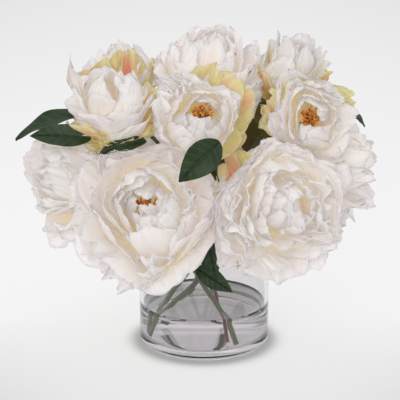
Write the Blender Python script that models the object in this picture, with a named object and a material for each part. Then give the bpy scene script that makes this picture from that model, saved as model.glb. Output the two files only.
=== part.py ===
"""Fourteen peonies on six branching stems, with leaves, standing in a clear glass cylinder of water.

Metres, +Z up. The origin is the centre of the vase's flat underside. -Y is the side that is looked at.
Each bloom is a bowl of outer petals round a ball of inner petals. Both are measured from the bloom's
centre, so that a bloom can be pressed flat wherever a neighbour, a leaf, a stem or the vase touches it.
"""

import math

import bmesh
import bpy
from mathutils import Vector

# The vase and its water
VASE_RADIUS = 0.0635
VASE_HEIGHT = 0.127
WALL = 0.0036
BASE_THICKNESS = 0.0085
FOOT_ROUNDING = 0.005
INNER_ROUNDING = 0.006
WATER_LEVEL = 0.040
VASE_SEGMENTS = 44

# Clearances between solids that touch in the real object
GAP = 0.0003
SOFT_GAP = 0.0012
BALL_GAP = 0.0030

# Stems
STEM_RADIUS = 0.0024
SIDE_STEM_RADIUS = 0.0019
STEM_SIDES = 8
STEM_RINGS = 13

# Blooms, as shares of the bloom's radius unless a unit is given
PETAL_SEGMENTS = 18
BOWL_RINGS = 5
BOWL_THICKNESS = 0.0045
BOWL_RIM_ANGLE = math.radians(64)
LOBE_DEPTH = 0.055
LOBE_FADE = math.radians(92)
BALL_SHARE = 0.76
BALL_LOBES = 5
BALL_LOBE_DEPTH = 0.03
WELL_ANGLE = math.radians(21)
WELL_FLOOR = 0.30
STAMEN_CENTRE = 0.47
STAMEN_RADIUS = 0.115
STAMEN_HALF_HEIGHT = 0.135

LEAF_THICKNESS = 0.0011
LEAF_STATIONS = 8

# Each bloom: centre, the way it faces, radius, front height and back depth as shares of the radius,
# and whether its stamens show
BLOOMS = {
    "peony_1": ((-0.052, -0.085, 0.156), (-0.20, -0.85, 0.45), 0.064, 0.74, 0.68, True),
    "peony_2": ((0.069, -0.080, 0.157), (0.45, -0.85, 0.20), 0.064, 0.78, 0.68, False),
    "peony_3": ((0.112, -0.008, 0.172), (0.90, -0.25, 0.25), 0.055, 0.84, 0.72, False),
    "peony_4": ((-0.122, -0.035, 0.167), (-0.85, -0.45, 0.20), 0.055, 0.84, 0.72, False),
    "peony_5": ((0.101, -0.046, 0.231), (0.15, -0.92, 0.35), 0.038, 0.84, 0.74, True),
    "peony_6": ((0.082, 0.018, 0.264), (0.35, 0.15, 0.92), 0.037, 1.02, 0.86, False),
    "peony_7": ((0.004, 0.010, 0.260), (0.00, -0.18, 0.98), 0.052, 0.90, 0.76, False),
    "peony_8": ((-0.005, -0.068, 0.239), (0.10, -0.94, 0.30), 0.043, 0.78, 0.72, True),
    "peony_9": ((-0.088, -0.048, 0.244), (-0.20, -0.34, 0.92), 0.042, 0.82, 0.72, True),
    "peony_10": ((-0.084, 0.026, 0.262), (-0.25, 0.45, 0.85), 0.037, 0.92, 0.82, False),
    "peony_11": ((-0.092, 0.068, 0.168), (-0.65, 0.70, 0.25), 0.058, 0.80, 0.70, False),
    "peony_12": ((0.084, 0.076, 0.170), (0.70, 0.65, 0.25), 0.058, 0.78, 0.70, True),
    "peony_13": ((-0.004, 0.106, 0.166), (0.00, 0.95, 0.25), 0.057, 0.80, 0.70, False),
    "peony_14": ((0.002, 0.084, 0.241), (0.05, 0.72, 0.68), 0.042, 0.86, 0.74, False),
}

# The blooms whose guard petals, the yellow-green ones round the back, are the ones seen from outside
GREEN_BACKED = ("peony_5", "peony_6", "peony_8", "peony_9", "peony_10")

# Each main stem: the cut end on the vase's floor, the points that it passes on its way up, and the
# bloom at its end
STEMS = {
    "stem_1": (
        (-0.0460, -0.0120),
        ((-0.038, -0.006, 0.040), (-0.008, -0.008, 0.082), (0.038, 0.000, 0.134)),
        "peony_3",
    ),
    "stem_2": (
        (-0.0480, -0.0210),
        ((-0.033, -0.018, 0.040), (-0.006, -0.034, 0.073), (0.036, -0.030, 0.131)),
        "peony_2",
    ),
    "stem_3": (
        (0.0290, -0.0430),
        ((0.016, -0.030, 0.040), (-0.003, -0.043, 0.075), (-0.032, -0.034, 0.128)),
        "peony_1",
    ),
    "stem_4": (
        (0.0200, -0.0330),
        ((0.014, -0.020, 0.040), (0.005, 0.000, 0.066), (-0.036, 0.028, 0.132)),
        "peony_11",
    ),
    "stem_5": (
        (0.0120, 0.0400),
        ((0.008, 0.034, 0.040), (0.000, 0.028, 0.070), (-0.004, 0.044, 0.132)),
        "peony_13",
    ),
    "stem_6": (
        (-0.0240, 0.0300),
        ((-0.014, 0.022, 0.040), (0.004, 0.014, 0.080), (0.036, 0.034, 0.134)),
        "peony_12",
    ),
}

# Each side stem: the main stem it grows from, how far along that stem it forks, a point that it
# passes, and the bloom at its end
SIDE_STEMS = {
    "side_stem_1": ("stem_1", 0.74, (0.052, -0.006, 0.180), "peony_5"),
    "side_stem_2": ("stem_6", 0.72, (0.046, 0.022, 0.185), "peony_6"),
    "side_stem_3": ("stem_6", 0.60, (0.012, 0.014, 0.175), "peony_7"),
    "side_stem_4": ("stem_2", 0.60, (-0.004, -0.016, 0.172), "peony_8"),
    "side_stem_5": ("stem_4", 0.62, (-0.048, 0.004, 0.150), "peony_4"),
    "side_stem_6": ("stem_4", 0.74, (-0.044, 0.028, 0.190), "peony_10"),
    "side_stem_7": ("stem_5", 0.68, (0.000, 0.038, 0.180), "peony_14"),
    "side_stem_8": ("stem_3", 0.68, (-0.038, -0.014, 0.180), "peony_9"),
}

# Each leaf: foot of its stalk, tip, the way its upper face looks, width and sag
LEAVES = {
    "leaf_1": ((-0.128, -0.036, 0.2405), (-0.174, -0.046, 0.215), (-0.35, -0.45, 0.82), 0.021, 0.004),
    "leaf_2": ((-0.110, -0.066, 0.2130), (-0.158, -0.062, 0.222), (-0.10, -0.92, 0.38), 0.021, 0.004),
    "leaf_3": ((0.014, -0.112, 0.2240), (-0.021, -0.126, 0.192), (0.15, -0.90, 0.42), 0.029, 0.005),
    "leaf_4": ((0.002, -0.069, 0.1400), (0.010, -0.079, 0.089), (-0.15, -0.98, 0.10), 0.021, 0.003),
    "leaf_5": ((-0.008, -0.0700, 0.098), (0.026, -0.075, 0.075), (0.20, -0.97, 0.15), 0.018, 0.002),
    "leaf_6": ((-0.052, -0.077, 0.2190), (-0.094, -0.086, 0.212), (-0.05, -0.60, 0.80), 0.018, 0.002),
    "leaf_7": ((0.116, 0.030, 0.2220), (0.161, 0.052, 0.208), (0.45, 0.10, 0.88), 0.024, 0.006),
    "leaf_8": ((-0.062, 0.086, 0.2260), (-0.106, 0.106, 0.214), (-0.25, 0.50, 0.82), 0.026, 0.006),
    "leaf_9": ((0.030, 0.0735, 0.1200), (0.044, 0.092, 0.073), (0.35, 0.92, 0.10), 0.026, 0.004),
}

# Colour, roughness and alpha of each material
FINISHES = {
    "clear_glass": ((0.86, 0.89, 0.89), 0.05, 0.30),
    "clear_water": ((0.80, 0.86, 0.86), 0.05, 0.35),
    "outer_petal": ((0.86, 0.82, 0.77), 0.60, 1.0),
    "inner_petal": ((0.88, 0.83, 0.74), 0.60, 1.0),
    "guard_petal": ((0.70, 0.66, 0.36), 0.60, 1.0),
    "stamen": ((0.78, 0.42, 0.08), 0.70, 1.0),
    "stem": ((0.24, 0.31, 0.15), 0.55, 1.0),
    "leaf": ((0.05, 0.10, 0.04), 0.40, 1.0),
}


def clear_scene():
    for thing in list(bpy.data.objects):
        bpy.data.objects.remove(thing)


def material(name):
    """The Principled material of that name, made the first time it is asked for."""
    made = bpy.data.materials.get(name)
    if made:
        return made
    colour, roughness, alpha = FINISHES[name]
    made = bpy.data.materials.new(name)
    made.use_nodes = True
    shader = made.node_tree.nodes["Principled BSDF"]
    shader.inputs["Base Color"].default_value = (*colour, 1.0)
    shader.inputs["Roughness"].default_value = roughness
    shader.inputs["Metallic"].default_value = 0.0
    shader.inputs["Alpha"].default_value = alpha
    return made


def add_object(name, mesh, finish, sharp_angle=40):
    mesh.shade_smooth()
    mesh.set_sharp_from_angle(angle=math.radians(sharp_angle))
    mesh.materials.append(material(finish))
    made = bpy.data.objects.new(name, mesh)
    bpy.context.scene.collection.objects.link(made)
    return made


def skin(name, start, rings, end):
    """A closed mesh that starts at one point, runs through rings of equal count and ends at one point."""
    shape = bmesh.new()
    first = shape.verts.new(start)
    loops = [[shape.verts.new(point) for point in ring] for ring in rings]
    last = shape.verts.new(end)
    count = len(loops[0])
    for i in range(count):
        following = (i + 1) % count
        shape.faces.new((first, loops[0][following], loops[0][i]))
        shape.faces.new((last, loops[-1][i], loops[-1][following]))
        for ring, next_ring in zip(loops, loops[1:]):
            shape.faces.new((ring[i], ring[following], next_ring[following], next_ring[i]))
    bmesh.ops.recalc_face_normals(shape, faces=shape.faces)
    mesh = bpy.data.meshes.new(name)
    shape.to_mesh(mesh)
    shape.free()
    return mesh


def turned(name, profile, finish):
    """A shape turned about Z from a profile of (radius, height) that runs down its outer side."""
    mesh = bpy.data.meshes.new(name)
    points = [(radius, 0.0, height) for radius, height in profile]
    edges = [(i, i + 1) for i in range(len(points) - 1)]
    mesh.from_pydata(points, edges, [])
    made = bpy.data.objects.new(name, mesh)
    mesh.materials.append(material(finish))
    bpy.context.scene.collection.objects.link(made)
    turn = made.modifiers.new("Turn", "SCREW")
    turn.axis = "Z"
    turn.angle = math.tau
    turn.steps = VASE_SEGMENTS
    turn.render_steps = VASE_SEGMENTS
    turn.use_merge_vertices = True
    turn.merge_threshold = 0.00001
    turn.use_smooth_shade = True
    return made


def corner(centre_radius, centre_height, rounding, from_degrees, to_degrees, steps=4):
    """Points on a rounded corner of a turned profile."""
    points = []
    for step in range(steps + 1):
        angle = math.radians(from_degrees + (to_degrees - from_degrees) * step / steps)
        radius = centre_radius + rounding * math.cos(angle)
        points.append((radius, centre_height + rounding * math.sin(angle)))
    return points


def make_vase():
    inner = VASE_RADIUS - WALL
    lip = WALL / 2
    profile = [(0.0, BASE_THICKNESS)]
    inner_centre = inner - INNER_ROUNDING
    profile += corner(inner_centre, BASE_THICKNESS + INNER_ROUNDING, INNER_ROUNDING, -90, 0)
    profile += corner(inner + lip, VASE_HEIGHT - lip, lip, 180, 0)
    profile += corner(VASE_RADIUS - FOOT_ROUNDING, FOOT_ROUNDING, FOOT_ROUNDING, 0, -90)
    profile.append((0.0, 0.0))
    return turned("vase", profile, "clear_glass")


def make_water(stem_paths):
    """The water fills the vase's foot, with a bore for each stem that stands in it."""
    radius = VASE_RADIUS - WALL - GAP
    floor = BASE_THICKNESS + GAP
    rounding = INNER_ROUNDING
    profile = [(0.0, WATER_LEVEL), (radius, WATER_LEVEL)]
    profile += corner(radius - rounding, floor + rounding, rounding, 0, -90)
    profile.append((0.0, floor))
    water = turned("water", profile, "clear_water")
    for name, path in stem_paths.items():
        cutter = tube("cutter_" + name, path, STEM_RADIUS + GAP, "stem", GAP)
        cutter.hide_render = True
        cutter.display_type = "WIRE"
        cut = water.modifiers.new("Bore for " + name, "BOOLEAN")
        cut.operation = "DIFFERENCE"
        cut.object = cutter
    return water


def smooth_path(points, count):
    """Evenly spaced points on a smooth curve through the given ones."""
    ends = [points[0] * 2 - points[1], *points, points[-1] * 2 - points[-2]]
    fine = []
    for a, b, c, d in zip(ends, ends[1:], ends[2:], ends[3:]):
        for step in range(24):
            t = step / 24
            curve = (b * 2 + (c - a) * t + (a * 2 - b * 5 + c * 4 - d) * t * t
                     + (b * 3 - a - c * 3 + d) * t * t * t)
            fine.append(curve / 2)
    fine.append(points[-1])
    lengths = [0.0]
    for a, b in zip(fine, fine[1:]):
        lengths.append(lengths[-1] + (b - a).length)
    path, at = [], 0
    for i in range(count):
        wanted = lengths[-1] * i / (count - 1)
        while at < len(fine) - 2 and lengths[at + 1] < wanted:
            at += 1
        share = (wanted - lengths[at]) / (lengths[at + 1] - lengths[at])
        path.append(fine[at].lerp(fine[at + 1], min(max(share, 0.0), 1.0)))
    return path


def path_point(path, share):
    """The point at a share of the path's length, and the direction there."""
    place = share * (len(path) - 1)
    low = min(int(place), len(path) - 2)
    direction = (path[low + 1] - path[low]).normalized()
    return path[low].lerp(path[low + 1], place - low), direction


def tube(name, path, radius, finish, longer=0.0):
    """A round stalk along a path. Its ends can run a little longer, as a cutter's do."""
    rings = []
    side = None
    for i, point in enumerate(path):
        before = path[max(i - 1, 0)]
        after = path[min(i + 1, len(path) - 1)]
        along = (after - before).normalized()
        start_side = along.orthogonal() if side is None else side
        side = (start_side - along * start_side.dot(along)).normalized()
        across = along.cross(side)
        end_shift = longer * ((i == len(path) - 1) - (i == 0))
        centre = point + along * end_shift
        ring = []
        for j in range(STEM_SIDES):
            turn = math.tau * j / STEM_SIDES
            ring.append(centre + (side * math.cos(turn) + across * math.sin(turn)) * radius)
        rings.append(ring)
    start = sum(rings[0], Vector()) / STEM_SIDES
    end = sum(rings[-1], Vector()) / STEM_SIDES
    return add_object(name, skin(name, start, rings, end), finish)


def bloom_back(name):
    """Where a stem meets the bloom, and the way the bloom faces."""
    centre, facing, radius, _, back, _ = BLOOMS[name]
    facing = Vector(facing).normalized()
    return Vector(centre) - facing * (radius * back + SOFT_GAP / 2), facing


def main_stem_path(cut_end, passed, bloom):
    """From the vase's floor, out over the rim and into the back of the bloom."""
    foot = Vector((*cut_end, BASE_THICKNESS + STEM_RADIUS + GAP))
    end, facing = bloom_back(bloom)
    return smooth_path([foot, *map(Vector, passed), end - facing * 0.012, end], STEM_RINGS)


def side_stem_path(parent_path, share, via, bloom):
    """From the side of a main stem up to the back of its own bloom."""
    fork, along = path_point(parent_path, share)
    end, facing = bloom_back(bloom)
    towards = Vector(via) - fork
    out = (towards - along * towards.dot(along)).normalized()
    start = fork + out * (STEM_RADIUS + SIDE_STEM_RADIUS + 2 * GAP)
    beside = start + along * 0.008 + out * 0.0015
    return smooth_path([start, beside, Vector(via), end - facing * 0.012, end], STEM_RINGS)


def leaf_frame(foot, tip, facing):
    along = (tip - foot).normalized()
    facing = (facing - along * facing.dot(along)).normalized()
    return along, facing, facing.cross(along)


def leaf_sections(foot, tip, facing, width, sag):
    """Thin sections across the leaf, from its stalk to its tip, folded a little along the midrib."""
    along, up, across = leaf_frame(foot, tip, facing)
    length = (tip - foot).length
    sections = []
    for station in range(LEAF_STATIONS):
        share = (station + 0.35) / LEAF_STATIONS
        half = width / 2 * (math.sin(math.pi * share ** 0.85) ** 0.8) + 0.0006
        middle = foot + along * (length * share) + up * (sag * math.sin(math.pi * share))
        section = []
        for side, level in ((-1, 0), (-0.5, 1), (0, 1), (0.5, 1), (1, 0), (0.5, -1), (0, -1), (-0.5, -1)):
            fold = 0.20 * half * abs(side)
            offset = up * (fold + LEAF_THICKNESS / 2 * level)
            section.append(middle + across * (half * side) + offset)
        sections.append(section)
    return sections


def make_leaf(name):
    foot, tip, facing, width, sag = LEAVES[name]
    foot, tip, facing = Vector(foot), Vector(tip), Vector(facing)
    sections = leaf_sections(foot, tip, facing, width, sag)
    add_object(name, skin(name, foot, sections, tip), "leaf")


def nearest_wall(centre, points, gap):
    """The plane that keeps a bloom clear of some points: its direction and its distance."""
    nearest = min(points, key=lambda point: (point - centre).length)
    towards = nearest - centre
    return towards.normalized(), towards.length - gap


def vase_wall(centre):
    """The plane that keeps a bloom clear of the vase, taken as a full cylinder."""
    flat = Vector((centre.x, centre.y, 0))
    nearest = flat.normalized() * min(VASE_RADIUS, flat.length)
    nearest.z = min(centre.z, VASE_HEIGHT)
    towards = nearest - centre
    return towards.normalized(), towards.length - SOFT_GAP


def bloom_walls(name, stem_paths, leaf_points):
    """What presses on a bloom: its neighbours, the vase, the leaves and the other blooms' stems."""
    centre, _, radius, *_ = BLOOMS[name]
    centre = Vector(centre)
    walls = [vase_wall(centre)]
    for other, (place, _, other_radius, *_) in BLOOMS.items():
        if other == name:
            continue
        towards = Vector(place) - centre
        span = towards.length
        middle = (span * span + radius * radius - other_radius * other_radius) / (2 * span)
        walls.append((towards.normalized(), middle - SOFT_GAP / 2))
    for points in leaf_points.values():
        walls.append(nearest_wall(centre, points, SOFT_GAP))
    for path, end_bloom, stem_radius in stem_paths:
        if end_bloom != name:
            walls.append(nearest_wall(centre, path, stem_radius + 2 * SOFT_GAP))
    return [(normal, limit) for normal, limit in walls if limit < 1.3 * radius]


def bloom_axes(facing):
    facing = Vector(facing).normalized()
    side = facing.cross(Vector((0, 0, 1))).normalized()
    return facing, side, facing.cross(side)


def free_reach(direction, walls):
    """How far a bloom can grow from its centre in a direction before it meets something."""
    reach = 1.0
    for normal, limit in walls:
        leaning = direction.dot(normal)
        if leaning > 0.001:
            reach = min(reach, limit / leaning)
    return reach


def egg(angle, radius, front, back):
    """Distance from the centre to an egg's skin, at an angle from the way it faces."""
    depth = front if angle < math.pi / 2 else back
    return 1 / math.hypot(math.sin(angle) / radius, math.cos(angle) / depth)


def bloom_point(centre, axes, walls, angle, turn, reach, inset=0.0):
    """A point on a bloom's skin, pulled in where something presses on it."""
    facing, side, up = axes
    round_about = side * math.cos(turn) + up * math.sin(turn)
    direction = facing * math.cos(angle) + round_about * math.sin(angle)
    return centre + direction * (min(reach, free_reach(direction, walls)) - inset)


def bowl_reach(angle, turn, radius, front, back, lobes):
    """The outer petals' skin: an egg with a lobe for each petal, which fades towards the stem."""
    depth = LOBE_DEPTH * max(0.0, 1 - (angle - BOWL_RIM_ANGLE) / LOBE_FADE)
    return egg(angle, radius, radius * front, radius * back) * (1 - depth + depth * math.cos(lobes * turn))


def lobe_count(radius):
    """A big bloom shows more petals round its edge than a small one."""
    return 5 if radius < 0.05 else 7


def bowl_angles():
    """The angles of the bowl's rings, from its rim towards the stem."""
    return [BOWL_RIM_ANGLE + (math.pi - BOWL_RIM_ANGLE) * ring / BOWL_RINGS for ring in range(BOWL_RINGS)]


def make_outer_petals(name, walls):
    centre, facing, radius, front, back, _ = BLOOMS[name]
    centre, axes = Vector(centre), bloom_axes(facing)
    lobes = lobe_count(radius)
    angles = bowl_angles()
    turns = [math.tau * step / PETAL_SEGMENTS for step in range(PETAL_SEGMENTS)]

    def ring(angle, inset):
        return [
            bloom_point(centre, axes, walls, angle, turn,
                        bowl_reach(angle, turn, radius, front, back, lobes), inset)
            for turn in turns
        ]

    def back_point(inset):
        return bloom_point(centre, axes, walls, math.pi, 0.0, radius * back, inset)

    inside = [ring(angle, BOWL_THICKNESS) for angle in reversed(angles)]
    outside = [ring(angle, 0.0) for angle in angles]
    mesh = skin(name, back_point(BOWL_THICKNESS), inside + outside, back_point(0.0))
    finish = "guard_petal" if name in GREEN_BACKED else "outer_petal"
    add_object(name + "_outer_petals", mesh, finish)


def ball_reach(angle, turn, radius, front, back):
    """The inner petals' skin, which bulges out of the bowl in front."""
    ripple = 1 - BALL_LOBE_DEPTH + BALL_LOBE_DEPTH * math.cos(BALL_LOBES * turn) * math.sin(angle)
    return egg(angle, radius * BALL_SHARE, radius * front, radius * back) * ripple


def make_inner_petals(name, walls):
    centre, facing, radius, front, back, opened = BLOOMS[name]
    centre, axes = Vector(centre), bloom_axes(facing)
    turns = [math.tau * step / PETAL_SEGMENTS for step in range(PETAL_SEGMENTS)]
    inset = BOWL_THICKNESS + BALL_GAP

    def inside_bowl(angle, turn):
        """A point of the ball, held inside the bowl where the bowl is around it."""
        outer = bowl_reach(angle, turn, radius, front, back, lobe_count(radius))
        held = bloom_point(centre, axes, walls, angle, turn, outer, inset)
        free = bloom_point(centre, axes, walls, angle, turn, ball_reach(angle, turn, radius, front, back))
        return min(held, free, key=lambda point: (point - centre).length)

    def in_front(angle, turn):
        return bloom_point(centre, axes, walls, angle, turn, ball_reach(angle, turn, radius, front, back))

    rings = []
    middle = radius * front
    front_angles = [math.radians(degrees) for degrees in (15, 31, 47)]
    if opened:
        middle = radius * WELL_FLOOR
        rings.append([bloom_point(centre, axes, walls, WELL_ANGLE, turn, middle) for turn in turns])
        front_angles = [math.radians(degrees) for degrees in (28, 47)]
    rings += [[in_front(angle, turn) for turn in turns] for angle in front_angles]
    rings += [[inside_bowl(angle, turn) for turn in turns] for angle in bowl_angles()]
    front_point = bloom_point(centre, axes, walls, 0.0, 0.0, middle)
    mesh = skin(name, front_point, rings, inside_bowl(math.pi, 0.0))
    add_object(name + "_inner_petals", mesh, "inner_petal")


def make_stamens(name):
    """The tuft of stamens in an open bloom's well, as one domed cushion."""
    centre, facing, radius, *_ = BLOOMS[name]
    facing, side, up = bloom_axes(facing)
    middle = Vector(centre) + facing * (radius * STAMEN_CENTRE)
    rings = []
    for degrees in (35, 70, 105, 140):
        angle = math.radians(degrees)
        level = middle + facing * (radius * STAMEN_HALF_HEIGHT * math.cos(angle))
        ring = []
        for step in range(10):
            turn = math.tau * step / 10
            bump = 1 + 0.08 * math.cos(5 * turn)
            spread = radius * STAMEN_RADIUS * math.sin(angle) * bump
            ring.append(level + (side * math.cos(turn) + up * math.sin(turn)) * spread)
        rings.append(ring)
    reach = facing * (radius * STAMEN_HALF_HEIGHT)
    mesh = skin(name, middle + reach, rings, middle - reach)
    add_object(name + "_stamens", mesh, "stamen")


def main():
    clear_scene()
    make_vase()
    main_paths = {name: main_stem_path(*layout) for name, layout in STEMS.items()}
    make_water(main_paths)
    stem_paths = []
    for name, path in main_paths.items():
        tube(name, path, STEM_RADIUS, "stem")
        stem_paths.append((path, STEMS[name][2], STEM_RADIUS))
    for name, (parent, share, via, bloom) in SIDE_STEMS.items():
        path = side_stem_path(main_paths[parent], share, via, bloom)
        tube(name, path, SIDE_STEM_RADIUS, "stem")
        stem_paths.append((path, bloom, SIDE_STEM_RADIUS))
    leaf_points = {}
    for name, (foot, tip, facing, width, sag) in LEAVES.items():
        sections = leaf_sections(Vector(foot), Vector(tip), Vector(facing), width, sag)
        leaf_points[name] = [point for section in sections for point in section]
        make_leaf(name)
    for name, layout in BLOOMS.items():
        walls = bloom_walls(name, stem_paths, leaf_points)
        make_outer_petals(name, walls)
        make_inner_petals(name, walls)
        if layout[5]:
            make_stamens(name)


main()
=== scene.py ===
# %% [markdown]
# # Silk peonies in a glass cylinder
#
# This lesson dresses a plain model of a flower arrangement: fourteen cream peonies on forked stems,
# with dark leaves, in a short clear vase with water in its foot. The plain model gives the sizes and
# the places. Here every petal, stamen, leaf and stem gets its real shape and finish.
#
# Everything is in metres with +Z up. The vase stands on the origin, and the front looks along -Y.

# %% Load the plain model
import math
from functools import partial

import bpy
import numpy as np
from mathutils import Matrix, Vector


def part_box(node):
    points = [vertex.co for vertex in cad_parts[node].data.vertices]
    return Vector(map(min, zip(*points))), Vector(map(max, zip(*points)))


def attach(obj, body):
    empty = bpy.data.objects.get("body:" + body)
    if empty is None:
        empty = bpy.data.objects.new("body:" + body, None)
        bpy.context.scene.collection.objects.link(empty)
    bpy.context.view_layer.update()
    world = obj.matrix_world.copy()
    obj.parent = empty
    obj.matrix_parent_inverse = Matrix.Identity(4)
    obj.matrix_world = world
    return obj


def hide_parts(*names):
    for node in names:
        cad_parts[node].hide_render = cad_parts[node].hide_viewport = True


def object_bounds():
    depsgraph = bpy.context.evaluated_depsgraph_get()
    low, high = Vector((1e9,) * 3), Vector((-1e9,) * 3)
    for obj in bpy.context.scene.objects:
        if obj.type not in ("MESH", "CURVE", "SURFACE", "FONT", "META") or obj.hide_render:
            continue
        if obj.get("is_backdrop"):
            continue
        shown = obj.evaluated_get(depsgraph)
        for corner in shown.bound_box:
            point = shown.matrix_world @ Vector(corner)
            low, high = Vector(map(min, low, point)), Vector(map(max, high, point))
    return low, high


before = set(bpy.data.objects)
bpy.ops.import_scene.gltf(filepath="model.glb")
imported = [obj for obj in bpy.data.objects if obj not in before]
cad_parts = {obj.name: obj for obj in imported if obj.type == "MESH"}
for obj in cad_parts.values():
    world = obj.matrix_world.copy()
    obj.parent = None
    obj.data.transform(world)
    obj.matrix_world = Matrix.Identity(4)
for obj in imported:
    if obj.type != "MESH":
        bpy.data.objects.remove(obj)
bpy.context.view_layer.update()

# %% [markdown]
# ## Arithmetic that a node tree can do
#
# A petal's shape is a formula, and so is the pattern on it. Both can be drawn by hand as dozens of Math
# nodes, but a formula is easier to read as a formula. A Field stands for one number in a node tree, and
# adding or multiplying Fields adds the Math nodes. The same class serves shapes and finishes.

# %% A field of numbers
class Field:
    """One output of a node, which ordinary arithmetic can be done on."""

    def __init__(self, socket):
        self.socket = socket
        self.tree = socket.id_data


def calc(operation, *terms):
    """A Math node on fields and plain numbers, as a field."""
    tree = next(term.tree for term in terms if isinstance(term, Field))
    node = tree.nodes.new("ShaderNodeMath")
    node.operation = operation
    for socket, term in zip(node.inputs, terms):
        plug_in(tree, socket, term)
    return Field(node.outputs[0])


def plug_in(tree, socket, value):
    """Gives an input its value, whether that is a field, another node's socket or a plain number."""
    if isinstance(value, Field):
        value = value.socket
    if isinstance(value, bpy.types.NodeSocket):
        tree.links.new(value, socket)
    else:
        socket.default_value = value


Field.__add__ = Field.__radd__ = lambda a, b: calc("ADD", a, b)
Field.__mul__ = Field.__rmul__ = lambda a, b: calc("MULTIPLY", a, b)
Field.__sub__ = lambda a, b: calc("SUBTRACT", a, b)
Field.__rsub__ = lambda a, b: calc("SUBTRACT", b, a)
Field.__truediv__ = lambda a, b: calc("DIVIDE", a, b)
Field.__pow__ = lambda a, b: calc("POWER", a, b)
sine, cosine, size, least, most = [
    partial(calc, operation) for operation in ("SINE", "COSINE", "ABSOLUTE", "MINIMUM", "MAXIMUM")]


def bell(x, width):
    """1 in the middle, falling off smoothly to either side."""
    return calc("EXPONENT", (x / width) * (x / width) * -1.0)


def ramp(x, low, high):
    """0 below low, 1 above high, and straight between them."""
    return least(most((x - low) / (high - low), 0.0), 1.0)


# %% Small helpers for trees
def fill(tree, node, inputs):
    """Gives a node's inputs their values, by name."""
    for name, value in inputs.items():
        plug_in(tree, node.inputs[name], value)


def add_node(tree, kind, inputs=None, **settings):
    """A node with its settings and its inputs filled in."""
    node = tree.nodes.new(kind)
    for name, value in settings.items():
        setattr(node, name, value)
    fill(tree, node, inputs or {})
    return node


def vector(tree, x, y, z):
    return add_node(tree, "ShaderNodeCombineXYZ", {"X": x, "Y": y, "Z": z}).outputs[0]


def parts(tree, socket):
    """The three numbers of a vector, as fields."""
    return [Field(number) for number in add_node(tree, "ShaderNodeSeparateXYZ", {"Vector": socket}).outputs]


def noise(tree, x, y, z, scale=1.0, detail=2.0):
    """Smooth random numbers between 0 and 1, the same for the same place."""
    place_at = vector(tree, x, y, z)
    return Field(add_node(tree, "ShaderNodeTexNoise",
                          {"Vector": place_at, "Scale": scale, "Detail": detail}).outputs[0])


# %% [markdown]
# ## Camera, light and table
#
# The arrangement is seen from a little above, through a long lens, on a seamless pale table. The light is
# soft from all sides: a pale room, a wide lamp overhead and a second one from the front left. A glass
# vase shows what is around it, so the pale room matters as much as the lamps.

# %% Finish helpers
def new_finish(name):
    """A new material with its tree and its Principled shader."""
    finish = bpy.data.materials.new(name)
    finish.use_nodes = True
    return finish, finish.node_tree, finish.node_tree.nodes["Principled BSDF"]


def carried(tree, *names):
    """Numbers that the mesh carries at each point, in a tree that makes a finish."""
    return [Field(add_node(tree, "ShaderNodeAttribute", attribute_name=name).outputs["Fac"])
            for name in names]


def colour_mix(tree, share, first, second, blend="MIX"):
    """One colour at share 0, the other at 1. With the blend MULTIPLY, the first dimmed by the second."""
    node = add_node(tree, "ShaderNodeMix", data_type="RGBA", clamp_factor=True, blend_type=blend)
    for socket, value in zip((node.inputs[0], node.inputs[6], node.inputs[7]), (share, first, second)):
        plug_in(tree, socket, (*value, 1.0) if isinstance(value, tuple) else value)
    return node.outputs[2]


def bump(tree, height, depth):
    """Small relief from a field, as deep as a length in metres, for a shader's Normal."""
    return add_node(tree, "ShaderNodeBump", {"Height": height, "Distance": depth, "Strength": 1.0}).outputs[0]


def object_place(tree):
    """Where each point is, in a tree that makes a finish."""
    return parts(tree, tree.nodes.new("ShaderNodeTexCoord").outputs["Object"])


# %% Camera and lamps
CAMERA_PLACE = (-0.004, -1.22, 0.49)
CAMERA_DOWN = math.radians(15.9)
LENS_MM = 118.0
ROOM_LIGHT = 0.78
LAMPS = {  # name: place, aim, width, power, colour
    "lamp overhead": ((0.1, 0.3, 1.9), (0.0, 0.0, 0.1), 1.2, 2.0, (1.0, 1.0, 1.0)),
    "lamp front": ((-0.5, -2.4, 0.95), (0.0, 0.0, 0.18), 1.3, 18.5, (1.0, 0.985, 0.965)),
}


def add_object(name, data, place_at=(0.0, 0.0, 0.0)):
    """A new object in the scene."""
    made = bpy.data.objects.new(name, data)
    made.location = place_at
    bpy.context.scene.collection.objects.link(made)
    return made


camera_data = bpy.data.cameras.new("camera")
camera_data.lens = LENS_MM
camera_data.sensor_width = 36.0
camera = add_object("camera", camera_data, CAMERA_PLACE)
camera.rotation_euler = (math.pi / 2 - CAMERA_DOWN, 0.0, 0.0)
bpy.context.scene.camera = camera
for lamp_name, (lamp_place, aim, width, power, colour) in LAMPS.items():
    data = bpy.data.lights.new(lamp_name, "AREA")
    data.shape, data.size, data.energy, data.color = "DISK", width, power, colour
    lamp = add_object(lamp_name, data, lamp_place)
    lamp.rotation_euler = (Vector(aim) - Vector(lamp_place)).to_track_quat("-Z", "Y").to_euler()
room = bpy.data.worlds.new("pale room")
room.use_nodes = True
fill(room.node_tree, room.node_tree.nodes["Background"],
     {"Color": (1.0, 1.0, 1.0, 1.0), "Strength": ROOM_LIGHT})
bpy.context.scene.world = room
bpy.context.scene.view_settings.view_transform = "Standard"
print("camera", CAMERA_PLACE, "lens", LENS_MM)

# %% The table
VASE_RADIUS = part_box("vase")[1].x
VASE_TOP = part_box("vase")[1].z
TABLE_REACH = 9.0
# where the table's painted pool of light is lightest, its even glow, the pool's strength, and the strengths
# of painted shade: at the front corners, at the front, as a contact shadow round the vase's foot, and under
# the vase
TABLE_BRIGHT_AT = 0.25
TABLE_GLOW = 0.47
PAINTED_POOL_GLOW = 0.22
PAINTED_CORNER_SHADE = 0.11
PAINTED_FRONT_SHADE = 0.02
PAINTED_CONTACT_SHADOW = 0.6
PAINTED_SHADE_UNDER_VASE = 0.5


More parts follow.
